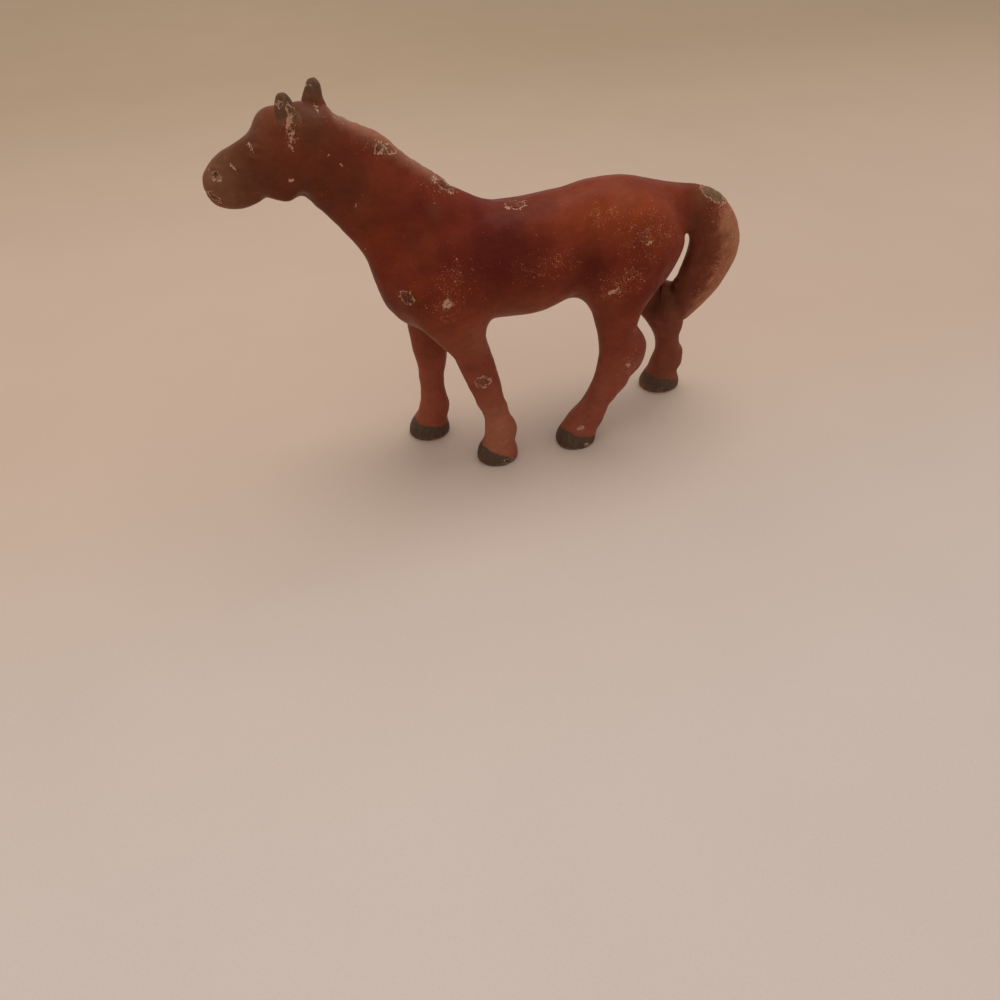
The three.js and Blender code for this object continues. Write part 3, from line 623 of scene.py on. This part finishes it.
def along_line(places, line):
    """For each place the nearest point of a line: distance, length along it, offset and direction."""
    line = np.array(line, dtype=float)
    best = np.full(len(places), np.inf)
    length = np.zeros(len(places))
    offset = np.zeros_like(places)
    heading = np.zeros_like(places)
    run = 0
    for start, end in zip(line[:-1], line[1:]):
        step = end - start
        size = np.linalg.norm(step)
        share = np.clip((places - start) @ step / size**2, 0, 1)
        away = places - start - share[:, None] * step
        distance = np.linalg.norm(away, axis=1)
        closer = distance < best
        best[closer] = distance[closer]
        length[closer] = run + share[closer] * size
        offset[closer] = away[closer]
        heading[closer] = step / size
        run += size
    return best, length, offset, heading


def waves(values, length, shift=0):
    return np.sin(math.tau * values / length + shift)


def mane_hair(places):
    """Locks that hang to both sides of the crest, and the edge where they end."""
    distance, length, offset, _ = along_line(places, CREST)
    begun = ramp(length, *MANE_RUN)
    behind = ramp(places[:, 0], *MANE_X)
    near = ramp(distance, *MANE_OFF) * begun * behind * ramp(places[:, 2], *MANE_Z)
    slant = length + 0.5 * np.abs(offset[:, 1])
    broad, narrow = HAIR_WAVES
    locks = broad * waves(slant, LOCK) + narrow * waves(slant, THIN_LOCK, 1)
    end, swing, width, height = MANE_END
    edge = height * np.exp(-(((distance - end - swing * waves(slant, LOCK)) / width) ** 2))
    return near * locks + edge * begun * behind


def tail_hair(places):
    """Wavy strands down the tail."""
    distance, length, offset, heading = along_line(places, TAIL_LINE)
    side = np.cross(heading, (0, 1, 0))
    angle = np.arctan2(offset[:, 1], (offset * side).sum(axis=1))
    wobble = 0.5 * np.sin(length / 4) + 0.3 * np.sin(length / 1.9 + 1)
    broad, narrow = HAIR_WAVES
    strands = broad * np.sin(9 * angle + wobble * 2) + narrow * np.sin(17 * angle - wobble * 3)
    return strands * ramp(length, *TAIL_RUN) * ramp(distance, *TAIL_OFF) * ramp(places[:, 0], *TAIL_X)


def mould_seam(places, normals):
    """The fin where the two halves of the mould met, filed down unevenly."""
    width, height = SEAM
    x, y, z = places.T
    middle = np.exp(-((y / width) ** 2)) * ramp(np.abs(normals[:, 1]), *SEAM_TURN)
    trunk = ramp(x, *SEAM_FRONT_X) * ramp(z, *SEAM_Z) * ramp(x, *SEAM_REAR_X)
    filed = np.clip(0.5 + unevenness(places, *SEAM_FILED), 0, 1)
    return height * middle * trunk * filed


def sculpt(skin):
    places = skin.places
    normals = skin.normals()
    height = unevenness(places, *BROAD_RIPPLES) + unevenness(places, *FINE_RIPPLES)
    forms = [(spot, radii, amount) for centre, radii, amount in MUSCLES for spot in mirrored(centre)]
    forms += LEG_FORMS + EAR_ROOTS
    for centre, radii, amount in FACE_FORMS:
        forms += [(on_head(*spot), radii, amount) for spot in mirrored(centre)]
    for centre, radii, amount in forms:
        height += amount * nearness(places, centre, radii)
    width, depth = MOUTH_GROOVE
    for side in (1, -1):
        line = [on_head(forward, side * out, up) for forward, out, up in MOUTH]
        height -= depth * np.exp(-((along_line(places, line)[0] / width) ** 2))
    height += ear_cups(places) + mane_hair(places) + tail_hair(places) + mould_seam(places, normals)
    skin.places = places + height[:, None] * normals
    skin.stand()


def ear_cups(places):
    """The hollow of each ear, open to the front and outward."""
    height = np.zeros(len(places))
    (ahead, out, up), radii, depth = EAR_CUP
    for node, side in zip(BLACK_EARS, (1, -1)):
        low, high = box_of(node)
        size = high - low
        centre = low + size * (ahead, 0.5 + side * out, up)
        height += depth * nearness(places, centre, size * radii)
    return height


# Pieces: the skin is cut along the flat faces that the CAD pieces share


def flat_face(node, facing):
    """The largest flat face of a CAD piece that looks roughly one way: a point on it and its normal."""
    points, triangles = arrays_of(frame["nodes"][node].data)
    a, b, c = (points[corner] for corner in triangles.T)
    normals = np.cross(b - a, c - a)
    areas = np.linalg.norm(normals, axis=1)
    normals /= np.maximum(areas, 1e-9)[:, None]
    facing = np.array(facing) / np.linalg.norm(facing)
    heights = (a * normals).sum(axis=1)
    best, found = 0, None
    for i in np.argsort(-areas * (normals @ facing > ROUGHLY))[:TRIED_FACES]:
        same = (normals @ normals[i] > EXACTLY) & (np.abs(heights - heights[i]) < ONE_LEVEL)
        if normals[i] @ facing > ROUGHLY and areas[same].sum() > best:
            best = areas[same].sum()
            found = (a[i], normals[i])
    return found


def ahead_of(point, normal):
    """A large block that fills the side of a plane that its normal points to."""
    size = BLOCK * MM
    turn = Vector((0, 0, 1)).rotation_difference(Vector(normal)).to_matrix()
    mesh = bpy.data.meshes.new("solid")
    with edited(mesh) as bm:
        bmesh.ops.create_cube(bm, size=size)
        bmesh.ops.translate(bm, verts=bm.verts, vec=(0, 0, size / 2))
        bmesh.ops.rotate(bm, verts=bm.verts, matrix=turn)
        bmesh.ops.translate(bm, verts=bm.verts, vec=Vector(point) * MM)
    return new_object("solid", mesh)


def inner_side(node, facing):
    """The block on the inner side of a flat face of a CAD piece."""
    point, outward = flat_face(node, facing)
    return ahead_of(point, -outward)


def box_between(low, high):
    low, high = Vector(low) * MM, Vector(high) * MM
    mesh = bpy.data.meshes.new("solid")
    with edited(mesh) as bm:
        bmesh.ops.create_cube(bm, size=1)
        bmesh.ops.scale(bm, verts=bm.verts, vec=high - low)
        bmesh.ops.translate(bm, verts=bm.verts, vec=(low + high) / 2)
    return new_object("solid", mesh)


def trimmed(name, mesh, keep=(), drop=()):
    """A copy of a closed mesh, kept inside some solids and outside others."""
    piece = new_object(name, mesh.copy())
    cuts = [(solid, "INTERSECT") for solid in keep] + [(solid, "DIFFERENCE") for solid in drop]
    for solid, operation in cuts:
        cut = piece.modifiers.new("cut", "BOOLEAN")
        cut.operation = operation
        cut.solver = "MANIFOLD"
        cut.object = solid
    result = evaluated(piece)
    result.name = name
    piece.modifiers.clear()
    piece.data = result
    return piece


def islands(triangles, count):
    """For each of the corners the lowest corner that it is joined to."""
    label = np.arange(count)
    while True:
        low = label[triangles].min(axis=1)
        joined = label.copy()
        for corner in range(3):
            np.minimum.at(joined, triangles[:, corner], low)
        joined = joined[joined]
        if (joined == label).all():
            return label
        label = joined


def cleaned(mesh):
    """The mesh in triangles, without the tiny edges that cutting leaves and the folds they would become."""
    points, triangles = arrays_of(mesh)
    ends = np.concatenate([triangles[:, [0, 1]], triangles[:, [1, 2]], triangles[:, [2, 0]]])
    lengths = np.linalg.norm(points[ends[:, 0]] - points[ends[:, 1]], axis=1)
    same = np.arange(len(points))
    for a, b in ends[lengths < TINY_EDGE]:
        first, last = sorted((same[a], same[b]))
        same[same == last] = first
    triangles = same[triangles]
    a, b, c = triangles.T
    triangles = triangles[(a != b) & (b != c) & (c != a)]
    _, which, count = np.unique(np.sort(triangles, axis=1), axis=0, return_inverse=True, return_counts=True)
    triangles = triangles[count[which.ravel()] == 1]
    island = islands(triangles, len(points))[triangles[:, 0]]
    triangles = triangles[island == np.bincount(island).argmax()]
    used, triangles = np.unique(triangles, return_inverse=True)
    result = bpy.data.meshes.new(mesh.name)
    result.from_pydata((points[used] * MM).tolist(), [], triangles.reshape(-1, 3).tolist())
    return result


def ear_zone(node):
    """The room of an ear above a slanted plane across its root."""
    low, high = box_of(node)
    side = 1 if node == "left_ear" else -1
    forward, out, up = EAR_ROOT_UP
    room = box_between(low - EAR_ROOM, high + EAR_ROOM)
    middle = (low + high) / 2 + (0, 0, EAR_ROOT_SHARE * (high[2] - low[2]))
    return trimmed("solid", room.data, keep=[ahead_of(middle, (forward, out * side, up))])


def cut_pieces(mesh):
    """One closed piece of the skin for every CAD piece."""
    leg_top, upward = flat_face("left_fore_leg", (0, 0, 1))
    tail_front = flat_face("tail", (1, 0, 0))[0]
    over_legs = ahead_of(leg_top, upward)
    fore_of_neck = inner_side("neck", (-0.64, 0, -0.77))
    fore_of_head = inner_side("head", (-0.89, 0, -0.45))
    over_mane = inner_side("mane", (0.63, 0, -0.77))
    behind_tail = inner_side("tail", (1, 0, 0))
    front_half = ahead_of(MIDDLE, (1, 0, 0))
    left_half = ahead_of(MIDDLE, (0, 1, 0))
    tail_side = ahead_of(TAIL_ON_HOCK, TAIL_OFF_HOCK)
    high_corner = (*HIGH_CORNER, leg_top[2])
    under = trimmed("solid", box_between(LOW_CORNER, high_corner).data, drop=[tail_side])
    under_body = box_between((tail_front[0], *LOW_CORNER[1:]), high_corner)
    left_ear, right_ear = ears = [ear_zone(node) for node in BLACK_EARS]
    cuts = {
        "body": ([over_legs], [fore_of_neck, behind_tail]),
        "neck": ([fore_of_neck], [fore_of_head, over_mane, *ears]),
        "mane": ([fore_of_neck, over_mane], [fore_of_head, *ears]),
        "head": ([fore_of_head], ears),
        "tail": ([behind_tail], [under]),
        "left_ear": ([left_ear], []),
        "right_ear": ([right_ear], []),
    }
    for side, half in (("left", 0), ("right", 1)):
        for end, part in (("fore", 0), ("hind", 1)):
            leg = f"{side}_{end}_leg"
            zone = ([under if leg == "right_hind_leg" else under_body], [])
            zone[half].append(left_half)
            zone[part].append(front_half)
            keep, drop = zone
            coronet = ahead_of(*flat_face(leg, (0, 0, -1)))
            cuts[leg] = (keep, [*drop, coronet])
            cuts[f"{side}_{end}_hoof"] = ([*keep, coronet], drop)
    return {node: trimmed(node, mesh, *cut) for node, cut in cuts.items()}


def carry_over(piece, skin, tree, normals, relief):
    """Gives a piece the shading normals and the relief of the whole skin, so that no joint shows.
    Faces inside the metal, where the skin was cut, stay flat."""
    mesh = piece.data
    points = arrays_of(mesh)[0]
    found = [tree.find_nearest(Vector(point)) for point in points * MM]
    corners = skin.triangles[[spot[2] for spot in found]]
    spots = np.array([spot[0] for spot in found]) / MM
    gaps = np.array([spot[3] for spot in found]) / MM
    a, b, c = (skin.places[corners[:, i]] - spots for i in range(3))
    shares = np.stack([np.linalg.norm(np.cross(*pair), axis=1) for pair in ((b, c), (c, a), (a, b))], axis=1)
    shares /= np.maximum(shares.sum(axis=1), 1e-12)[:, None]
    smooth = (normals[corners] * shares[:, :, None]).sum(axis=1)
    add_values(mesh, "relief", (relief[corners] * shares).sum(axis=1))
    mesh.polygons.foreach_set("use_smooth", np.ones(len(mesh.polygons), dtype=bool))
    loops = read(mesh.loops, "vertex_index", kind=np.int32)
    face_of = np.repeat(np.arange(len(mesh.polygons)), 3)
    flat = read(mesh.polygons, "normal", 3)[face_of]
    areas = read(mesh.polygons, "area")[face_of]
    outside = np.ones(len(mesh.polygons), dtype=bool)
    alike = ((smooth[loops] * flat).sum(axis=1) > ALIKE) | (areas < SLIVER * MM**2)
    seen = (gaps[loops] < SEEN_ON_SKIN) & alike
    np.logical_and.at(outside, face_of, seen)
    chosen = np.where(outside[face_of][:, None], smooth[loops], flat)
    chosen /= np.maximum(np.linalg.norm(chosen, axis=1), 1e-9)[:, None]
    mesh.normals_split_custom_set(chosen.tolist())


def add_values(mesh, name, values):
    """Stores one number or one colour for each corner of a mesh."""
    kind, slot = ("FLOAT", "value") if values.ndim == 1 else ("FLOAT_COLOR", "color")
    attribute = mesh.attributes.new(name, kind, "POINT")
    attribute.data.foreach_set(slot, np.ascontiguousarray(values, dtype=np.float32).ravel())


# Paint that is laid on by place, as values at the corners of the mesh


def tinted(colours, share, colour):
    return colours + share[:, None] * (np.array(colour) - colours)


def layered(colours, layers):
    """Colours under thin layers of paint, each given by its share and its colour."""
    for share, colour in layers:
        colours = tinted(colours, share, colour)
    return colours


def tail_paint(places, colours):
    """Olive towards the body, worn and pinkish along the outer side, partly a painted reflection of the
    paper, bare metal on top.
    """
    distance, length, offset, heading = along_line(places, TAIL_LINE)
    outward = (offset * np.cross((0, 1, 0), heading)).sum(axis=1) + unevenness(places, *TAIL_PATCHES)
    on_tail = ramp(places[:, 0], *TAIL_PAINT_X) * ramp(distance, *TAIL_PAINT_OFF)
    on_tail *= ramp(places[:, 2], *TAIL_PAINT_Z)
    return layered(colours, [
        (on_tail * 0.3 * ramp(length, 7, 12), LEG_RED),
        (on_tail * 0.35 * ramp(outward, 1.6, -0.6), OLIVE),
        # worn paint along the outer side, partly a painted reflection of the paper
        (on_tail * 0.85 * ramp(outward, -1.2, 2.4) * ramp(length, 7.5, 12), TAIL_WORN_AND_SHEEN),
        (on_tail * 0.35 * nearness(places, *TAIL_METAL), GREY_WORN),
    ])


def coat_colours(places):
    share = 0.45 + unevenness(places, *PAINT_PATCHES) + unevenness(places, *PAINT_BLOTS)
    colours = tinted(np.tile(DEEP_RED, (len(places), 1)), np.clip(share, 0, 1), WARM_BROWN)
    for centre, radii, colour, strength in TINTS:
        colours = tinted(colours, strength * np.minimum(near_both(places, centre, radii), 1), colour)
    for centre, radii, colour, strength in LOCAL_TINTS:
        colours = tinted(colours, strength * nearness(places, centre, radii), colour)
    x, y, z = places.T
    distance, length, _, _ = along_line(places, CREST)
    crest = ramp(distance, *CREST_WEAR_SHEEN_OFF) * ramp(length, *CREST_WEAR_SHEEN_RUN) * ramp(x, *CREST_WEAR_SHEEN_X)
    # Painted shade on the upper right hind leg, under the tail
    right_hind = ramp(y, -1, -4) * ramp(x, -22, -28) * ramp(z, 30, 24)
    colours = layered(colours, [
        # rubbed paint and a painted highlight along the crest
        (0.5 * crest, PINK_WEAR_AND_SHEEN),
        (0.55 * ramp(z, 30, 14), LEG_RED),
        (0.35 * right_hind, OLIVE),
        # painted shade between the tail and the right leg
        (0.55 * nearness(places, *SHADE_UNDER_TAIL) * ramp(y, 3, 0), SHADE_BROWN),
    ])
    return tail_paint(places, colours)


def wear_of(places):
    total = np.full(len(places), BASE_WEAR)
    for centre, radii, density in WORN:
        total += density * near_both(places, centre, radii)
    return np.clip(total, 0, 1)


def chips_on(places):
    """How far each place is outside the nearest chip, and how bare the middle of that chip is."""
    nearest = np.full(len(places), PAINT_REACH)
    bare = np.zeros(len(places))
    for centre, radii, tilt, share in CHIPS:
        away = places - centre
        turn = math.radians(tilt)
        along = away[:, 0] * math.cos(turn) + away[:, 2] * math.sin(turn)
        across = away[:, 2] * math.cos(turn) - away[:, 0] * math.sin(turn)
        reach = np.sqrt((along / radii[0]) ** 2 + (away[:, 1] / radii[1]) ** 2 + (across / radii[2]) ** 2)
        reach = (reach - 1) * math.sqrt(radii[0] * radii[2])
        closer = reach < nearest
        nearest[closer] = reach[closer]
        bare[closer] = share
    return nearest, bare


def black_of(places):
    """How deep each place is in the black paint, and how well that covers."""
    depth = np.full(len(places), -PAINT_REACH)
    cover = np.where(places[:, 2] > EARS_ABOVE, EAR_COVER, 1.0)
    for along, side, height, rise in HOOVES:
        under = (height + rise * (places[:, 0] - along) - places[:, 2]) / math.hypot(1, rise)
        here = (np.abs(places[:, 0] - along) < HOOF_REACH) & (places[:, 1] * side > 0)
        depth = np.where(here, np.maximum(depth, under), depth)
    for ear, share in BLACK_EARS.items():
        low, high = box_of(ear)
        size = high - low
        above = places[:, 2] - low[2] - share * size[2]
        off = (places - (low + high) / 2) / size
        off[:, 2] = np.minimum(off[:, 2], 0)
        off = np.linalg.norm(off, axis=1)
        depth = np.maximum(depth, np.minimum(EAR_FADE * above, EAR_SIDE * (EAR_EDGE - off) * size[2]))
    return np.clip(depth, -PAINT_REACH, PAINT_REACH), cover


def painted(mesh):
    """Stores the paint of a piece at its corners."""
    places = arrays_of(mesh)[0]
    nearest, bare = chips_on(places)
    black, cover = black_of(places)
    on_ears = ramp(black, *EAR_TINT_FADE) * (cover < 1)
    coat = tinted(coat_colours(places), EAR_TINT * on_ears, EAR_BROWN)
    values = {"coat": coat, "wear": wear_of(places), "chip": nearest, "bare": bare}
    for name, value in {**values, "black": black, "cover": cover}.items():
        add_values(mesh, name, value)


# Materials


class Shader:
    """Builds a material's nodes from calls that read like a sum."""

    def __init__(self, name):
        self.material = bpy.data.materials.new(name)
        self.material.use_nodes = True
        self.nodes = self.material.node_tree.nodes
        self.links = self.material.node_tree.links
        self.surface = self.nodes["Principled BSDF"]
        coordinates = self.nodes.new("ShaderNodeTexCoord").outputs["Object"]
        self.place = self.scaled(coordinates, 1 / MM)

    def fill(self, node, inputs):
        """Sets each socket of a node, or links it to another node's output."""
        for socket, value in inputs.items():
            if isinstance(value, bpy.types.NodeSocket):
                self.links.new(value, node.inputs[socket])
            else:
                node.inputs[socket].default_value = value

    def add(self, kind, inputs, **settings):
        """The outputs of a new node."""
        node = self.nodes.new("ShaderNode" + kind)
        for name, value in settings.items():
            setattr(node, name, value)
        self.fill(node, inputs)
        return node.outputs

    def scaled(self, vector, factor):
        """A place or a colour times a number."""
        return self.add("VectorMath", {0: vector, "Scale": factor}, operation="SCALE")["Vector"]

    def math(self, operation, a, b, clamp=False):
        return self.add("Math", {0: a, 1: b}, operation=operation, use_clamp=clamp)[0]

    def plus(self, a, b, clamp=False):
        return self.math("ADD", a, b, clamp)

    def minus(self, a, b):
        return self.math("SUBTRACT", a, b)

    def times(self, a, b, clamp=False):
        return self.math("MULTIPLY", a, b, clamp)

    def swing(self, noise, height):
        """Noise around 0."""
        return self.times(self.minus(noise, 0.5), height)

    def value(self, name, output="Fac"):
        """What the mesh's corners store under a name: a number, or with "Color" a colour."""
        return self.add("Attribute", {}, attribute_name=name)[output]

    def noise(self, size, detail, stretch=(1, 1, 1), distortion=0):
        """Noise of one size of blotch in millimetres, from about 0.3 to 0.7 around 0.5."""
        where = self.add("VectorMath", {0: self.place, 1: stretch}, operation="MULTIPLY")["Vector"]
        inputs = {"Vector": where, "Scale": 1 / size, "Detail": detail, "Distortion": distortion}
        return self.add("TexNoise", inputs)["Fac"]

    def split(self, kind, value):
        """The three numbers of a colour ("Color") or of a place ("XYZ")."""
        return self.add("Separate" + kind, {0: value})

    def cells(self, size):
        """Random cells of one size: distance from the middle in cells, and three random numbers each."""
        outputs = self.add("TexVoronoi", {"Vector": self.place, "Scale": 1 / size})
        return outputs["Distance"], self.split("Color", outputs["Color"])

    def step(self, value, low, high):
        """0 below low and 1 above high, or the other way round."""
        limits = (low, high, 0, 1) if high > low else (high, low, 1, 0)
        inputs = dict(zip(("Value", "From Min", "From Max", "To Min", "To Max"), (value, *limits)))
        return self.add("MapRange", inputs, interpolation_type="SMOOTHSTEP")["Result"]

    def mix(self, share, a, b):
        return self.add("Mix", {"Factor": share, 6: a, 7: b}, data_type="RGBA")[2]

    def bump(self, height, distance):
        """Height from 0 to 1 as a relief of some millimetres."""
        return self.add("Bump", {"Height": height, "Distance": distance * MM})["Normal"]


def speckles(s, wear, density):
    """Dots where the paint has worn through, in three sizes and in clusters."""
    clusters = s.times(s.step(s.noise(SPECKLE_CLUSTER, 3), 0.4, 0.64), 1.3 * density)
    worn_here = s.times(wear, s.plus(clusters, 0.15 * density))
    specks = None
    for size, share in SPECKLES:
        distance, (chance, breadth, strength) = s.cells(size)
        edge = s.minus(distance, s.times(breadth, 0.42))
        chosen = s.minus(s.times(worn_here, share), chance)
        dots = s.times(s.step(edge, 0.14, -0.06), s.step(chosen, -0.02, 0.02))
        dots = s.times(dots, s.plus(s.times(strength, 0.6), 0.2))
        specks = dots if specks is None else s.math("MAXIMUM", specks, dots)
    return specks


def enamel(name, gloss, speckle, brushed):
    """Old brushed enamel over primer on cast metal, rubbed at the ridges and chipped."""
    s = Shader(name)
    relief = s.value("relief")
    wear = s.value("wear")
    fine = s.noise(FINE, 3)
    blotch = s.noise(BLOTCH, 4, distortion=0.4)
    brush = s.noise(BRUSH_MARK, 2, stretch=brushed)

    # Paint: blotches, brush marks, black parts, and painted shade in the hollows
    tone = s.plus(s.times(blotch, 0.55), s.times(brush, 0.35))
    tone = s.plus(tone, s.plus(s.times(fine, 0.2), 0.56))
    colour = s.scaled(s.value("coat", "Color"), tone)
    cover = s.value("cover")
    black = s.times(s.step(s.plus(s.value("black"), s.swing(blotch, 1.6)), -0.2, 0.2), cover)
    thin = s.times(s.minus(1.1, cover), 1.6)
    streak = s.times(s.step(s.noise(STREAK, 4, stretch=(1, 1, 0.35)), 0.46, 0.68), thin, clamp=True)
    colour = s.mix(black, colour, s.mix(streak, BLACK, GREY_WORN))
    # Painted shade: darker in the hollows of the relief
    hollow_shade = s.times(s.step(relief, -0.01, -0.1), 0.5)
    colour = s.mix(hollow_shade, colour, SHADE_BROWN)

    # A worn haze, ridges rubbed down towards the primer, and speckles
    haze = s.times(s.step(s.times(wear, s.plus(fine, 0.3)), 0.1, 0.9), 0.3)
    colour = s.mix(haze, colour, ORANGE)
    rubbed = s.times(s.step(s.plus(relief, s.swing(fine, 0.2)), 0.06, 0.16), 0.45)
    colour = s.mix(rubbed, colour, PINK_WEAR_AND_SHEEN)
    specks = speckles(s, wear, speckle)
    colour = s.mix(specks, colour, s.mix(s.times(wear, 0.6), SPECK, PALE_PRIMER))

    # Chips: thin broken flakes of primer around dulled paint and old, darkened metal
    rough = s.plus(s.swing(s.noise(RAGGED_EDGE, 2), 1.8), s.swing(s.noise(JAGGED_EDGE, 3), 1.0))
    reach = s.plus(s.value("chip"), rough)
    chip = s.times(s.step(reach, 0.05, -0.05), s.step(s.value("chip"), 0.4, 0.3))
    bare = s.value("bare")
    core = s.step(reach, 0.04 - CHIP_RIM, -0.06 - CHIP_RIM)
    core = s.times(core, s.step(bare, 0.05, 0.1))
    metal = s.plus(s.times(s.step(blotch, 0.4, 0.6), 0.45), 0.4)
    metal = s.times(s.times(core, metal), s.times(bare, 1.4), clamp=True)
    colour = s.mix(metal, colour, s.mix(s.step(bare, 0.6, 1), DARK_METAL, BARE_METAL))
    flakes = s.step(s.noise(FLAKE, 3), 0.38, 0.52)
    threads = s.math("ABSOLUTE", s.minus(s.noise(THREAD, 2, distortion=1.0), 0.5), 0)
    threads = s.times(s.times(s.step(threads, 0.035, 0.01), core), 0.4)
    rim = s.times(s.minus(chip, core), s.times(flakes, 0.9))
    rim = s.math("MAXIMUM", rim, threads)
    colour = s.mix(rim, colour, s.mix(fine, PALE_PRIMER, PINK_WEAR_AND_SHEEN))

    dull = s.plus(s.times(s.noise(DULL_PATCH, 3), 0.3), gloss - 0.15)
    worn = s.math("MAXIMUM", s.math("MAXIMUM", chip, specks), rubbed)
    height = s.minus(s.plus(s.times(fine, 0.3), s.times(blotch, 0.4)), s.times(chip, 0.5))
    height = s.minus(height, s.times(core, 0.25))
    s.fill(s.surface, {
        "Base Color": colour,
        "Metallic": s.times(metal, 0.3),
        "Specular IOR Level": 0.07,
        "Roughness": s.plus(dull, s.times(worn, 0.25), clamp=True),
        "Normal": s.bump(height, 0.1),
    })
    return s.material


# Setting: a large sheet of paper under soft light


def paper_sheet():
    mesh = bpy.data.meshes.new("paper")
    with edited(mesh) as bm:
        bmesh.ops.create_grid(bm, x_segments=2, y_segments=2, size=PAPER_SIZE)
    sheet = new_object("paper", mesh)
    s = Shader("paper")
    grain = s.noise(PAPER_GRAIN, 3)
    tone = s.plus(s.times(s.noise(PAPER_CLOUD, 3), 0.06), 0.97)
    tone = s.plus(tone, s.swing(grain, 0.08))
    x, y, _ = s.split("XYZ", s.place)
    (far, far_tone), (middle, middle_tone), (near, near_tone) = PAPER
    # Painted shade: the paper darker far off, and darker to the right by PAPER_DIM
    shaded_tone = s.mix(s.step(y, far, middle), far_tone, middle_tone)
    shaded_tone = s.mix(s.step(y, middle, near), shaded_tone, near_tone)
    lit = s.plus(s.times(s.step(x, *PAPER_DIM_X), PAPER_DIM), 1 - PAPER_DIM)
    s.fill(s.surface, {
        "Base Color": s.scaled(shaded_tone, s.times(tone, lit)),
        "Roughness": 0.85,
        "Specular IOR Level": 0.2,
        "Normal": s.bump(s.noise(PAPER_GRAIN, 4), 0.04),
    })
    mesh.materials.append(s.material)


def light():
    world = bpy.data.worlds.new("room")
    world.use_nodes = True
    back = world.node_tree.nodes["Background"]
    back.inputs["Color"].default_value = (*ROOM_COLOUR, 1)
    back.inputs["Strength"].default_value = ROOM_LIGHT
    scene.world = world
    key = bpy.data.lights.new("key", "AREA")
    key.shape = "DISK"
    key.size = KEY_SIZE
    key.energy = KEY_POWER
    key.color = KEY_COLOUR
    lamp = new_object("key", key)
    lamp.location = KEY_PLACE
    lamp.rotation_euler = (Vector(AIM) * MM - Vector(KEY_PLACE)).to_track_quat("-Z", "Y").to_euler()


def camera():
    data = bpy.data.cameras.new("camera")
    data.sensor_width = 36
    data.lens = data.sensor_width * FOCAL_SHARE
    data.clip_start = 0.01
    eye = new_object("camera", data)
    eye.location = Vector(CAMERA_PLACE) * MM
    eye.rotation_euler = [math.radians(angle) for angle in (90 - CAMERA_DIP, 0, CAMERA_TURN)]
    scene.camera = eye


def horse():
    skin = Skin(remeshed(joined_nodes()))
    smooth_skin(skin)
    skin.store()
    skin = Skin(refined_head(skin.mesh))
    sculpt(skin)
    normals = skin.normals()
    relief = ((skin.places - skin.relaxed(skin.places, RELIEF_ROUNDS)) * normals).sum(axis=1)
    tree = BVHTree.FromPolygons((skin.places * MM).tolist(), skin.triangles.tolist())
    materials = {slot: enamel(slot, *finish) for slot, finish in FINISHES.items()}
    for node, piece in cut_pieces(skin.mesh).items():
        slot = SLOTS.get(node.split("_")[-1], "coat")
        piece.data = cleaned(piece.data)
        carry_over(piece, skin, tree, normals, relief)
        painted(piece.data)
        piece.data.materials.append(materials[slot])
        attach(piece, "root")
        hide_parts(node)


camera()
scene.view_settings.view_transform = "Standard"
horse()
for leftover in [thing for thing in scene.objects if thing.name.startswith("solid")]:
    bpy.data.objects.remove(leftover)
paper_sheet()
light()
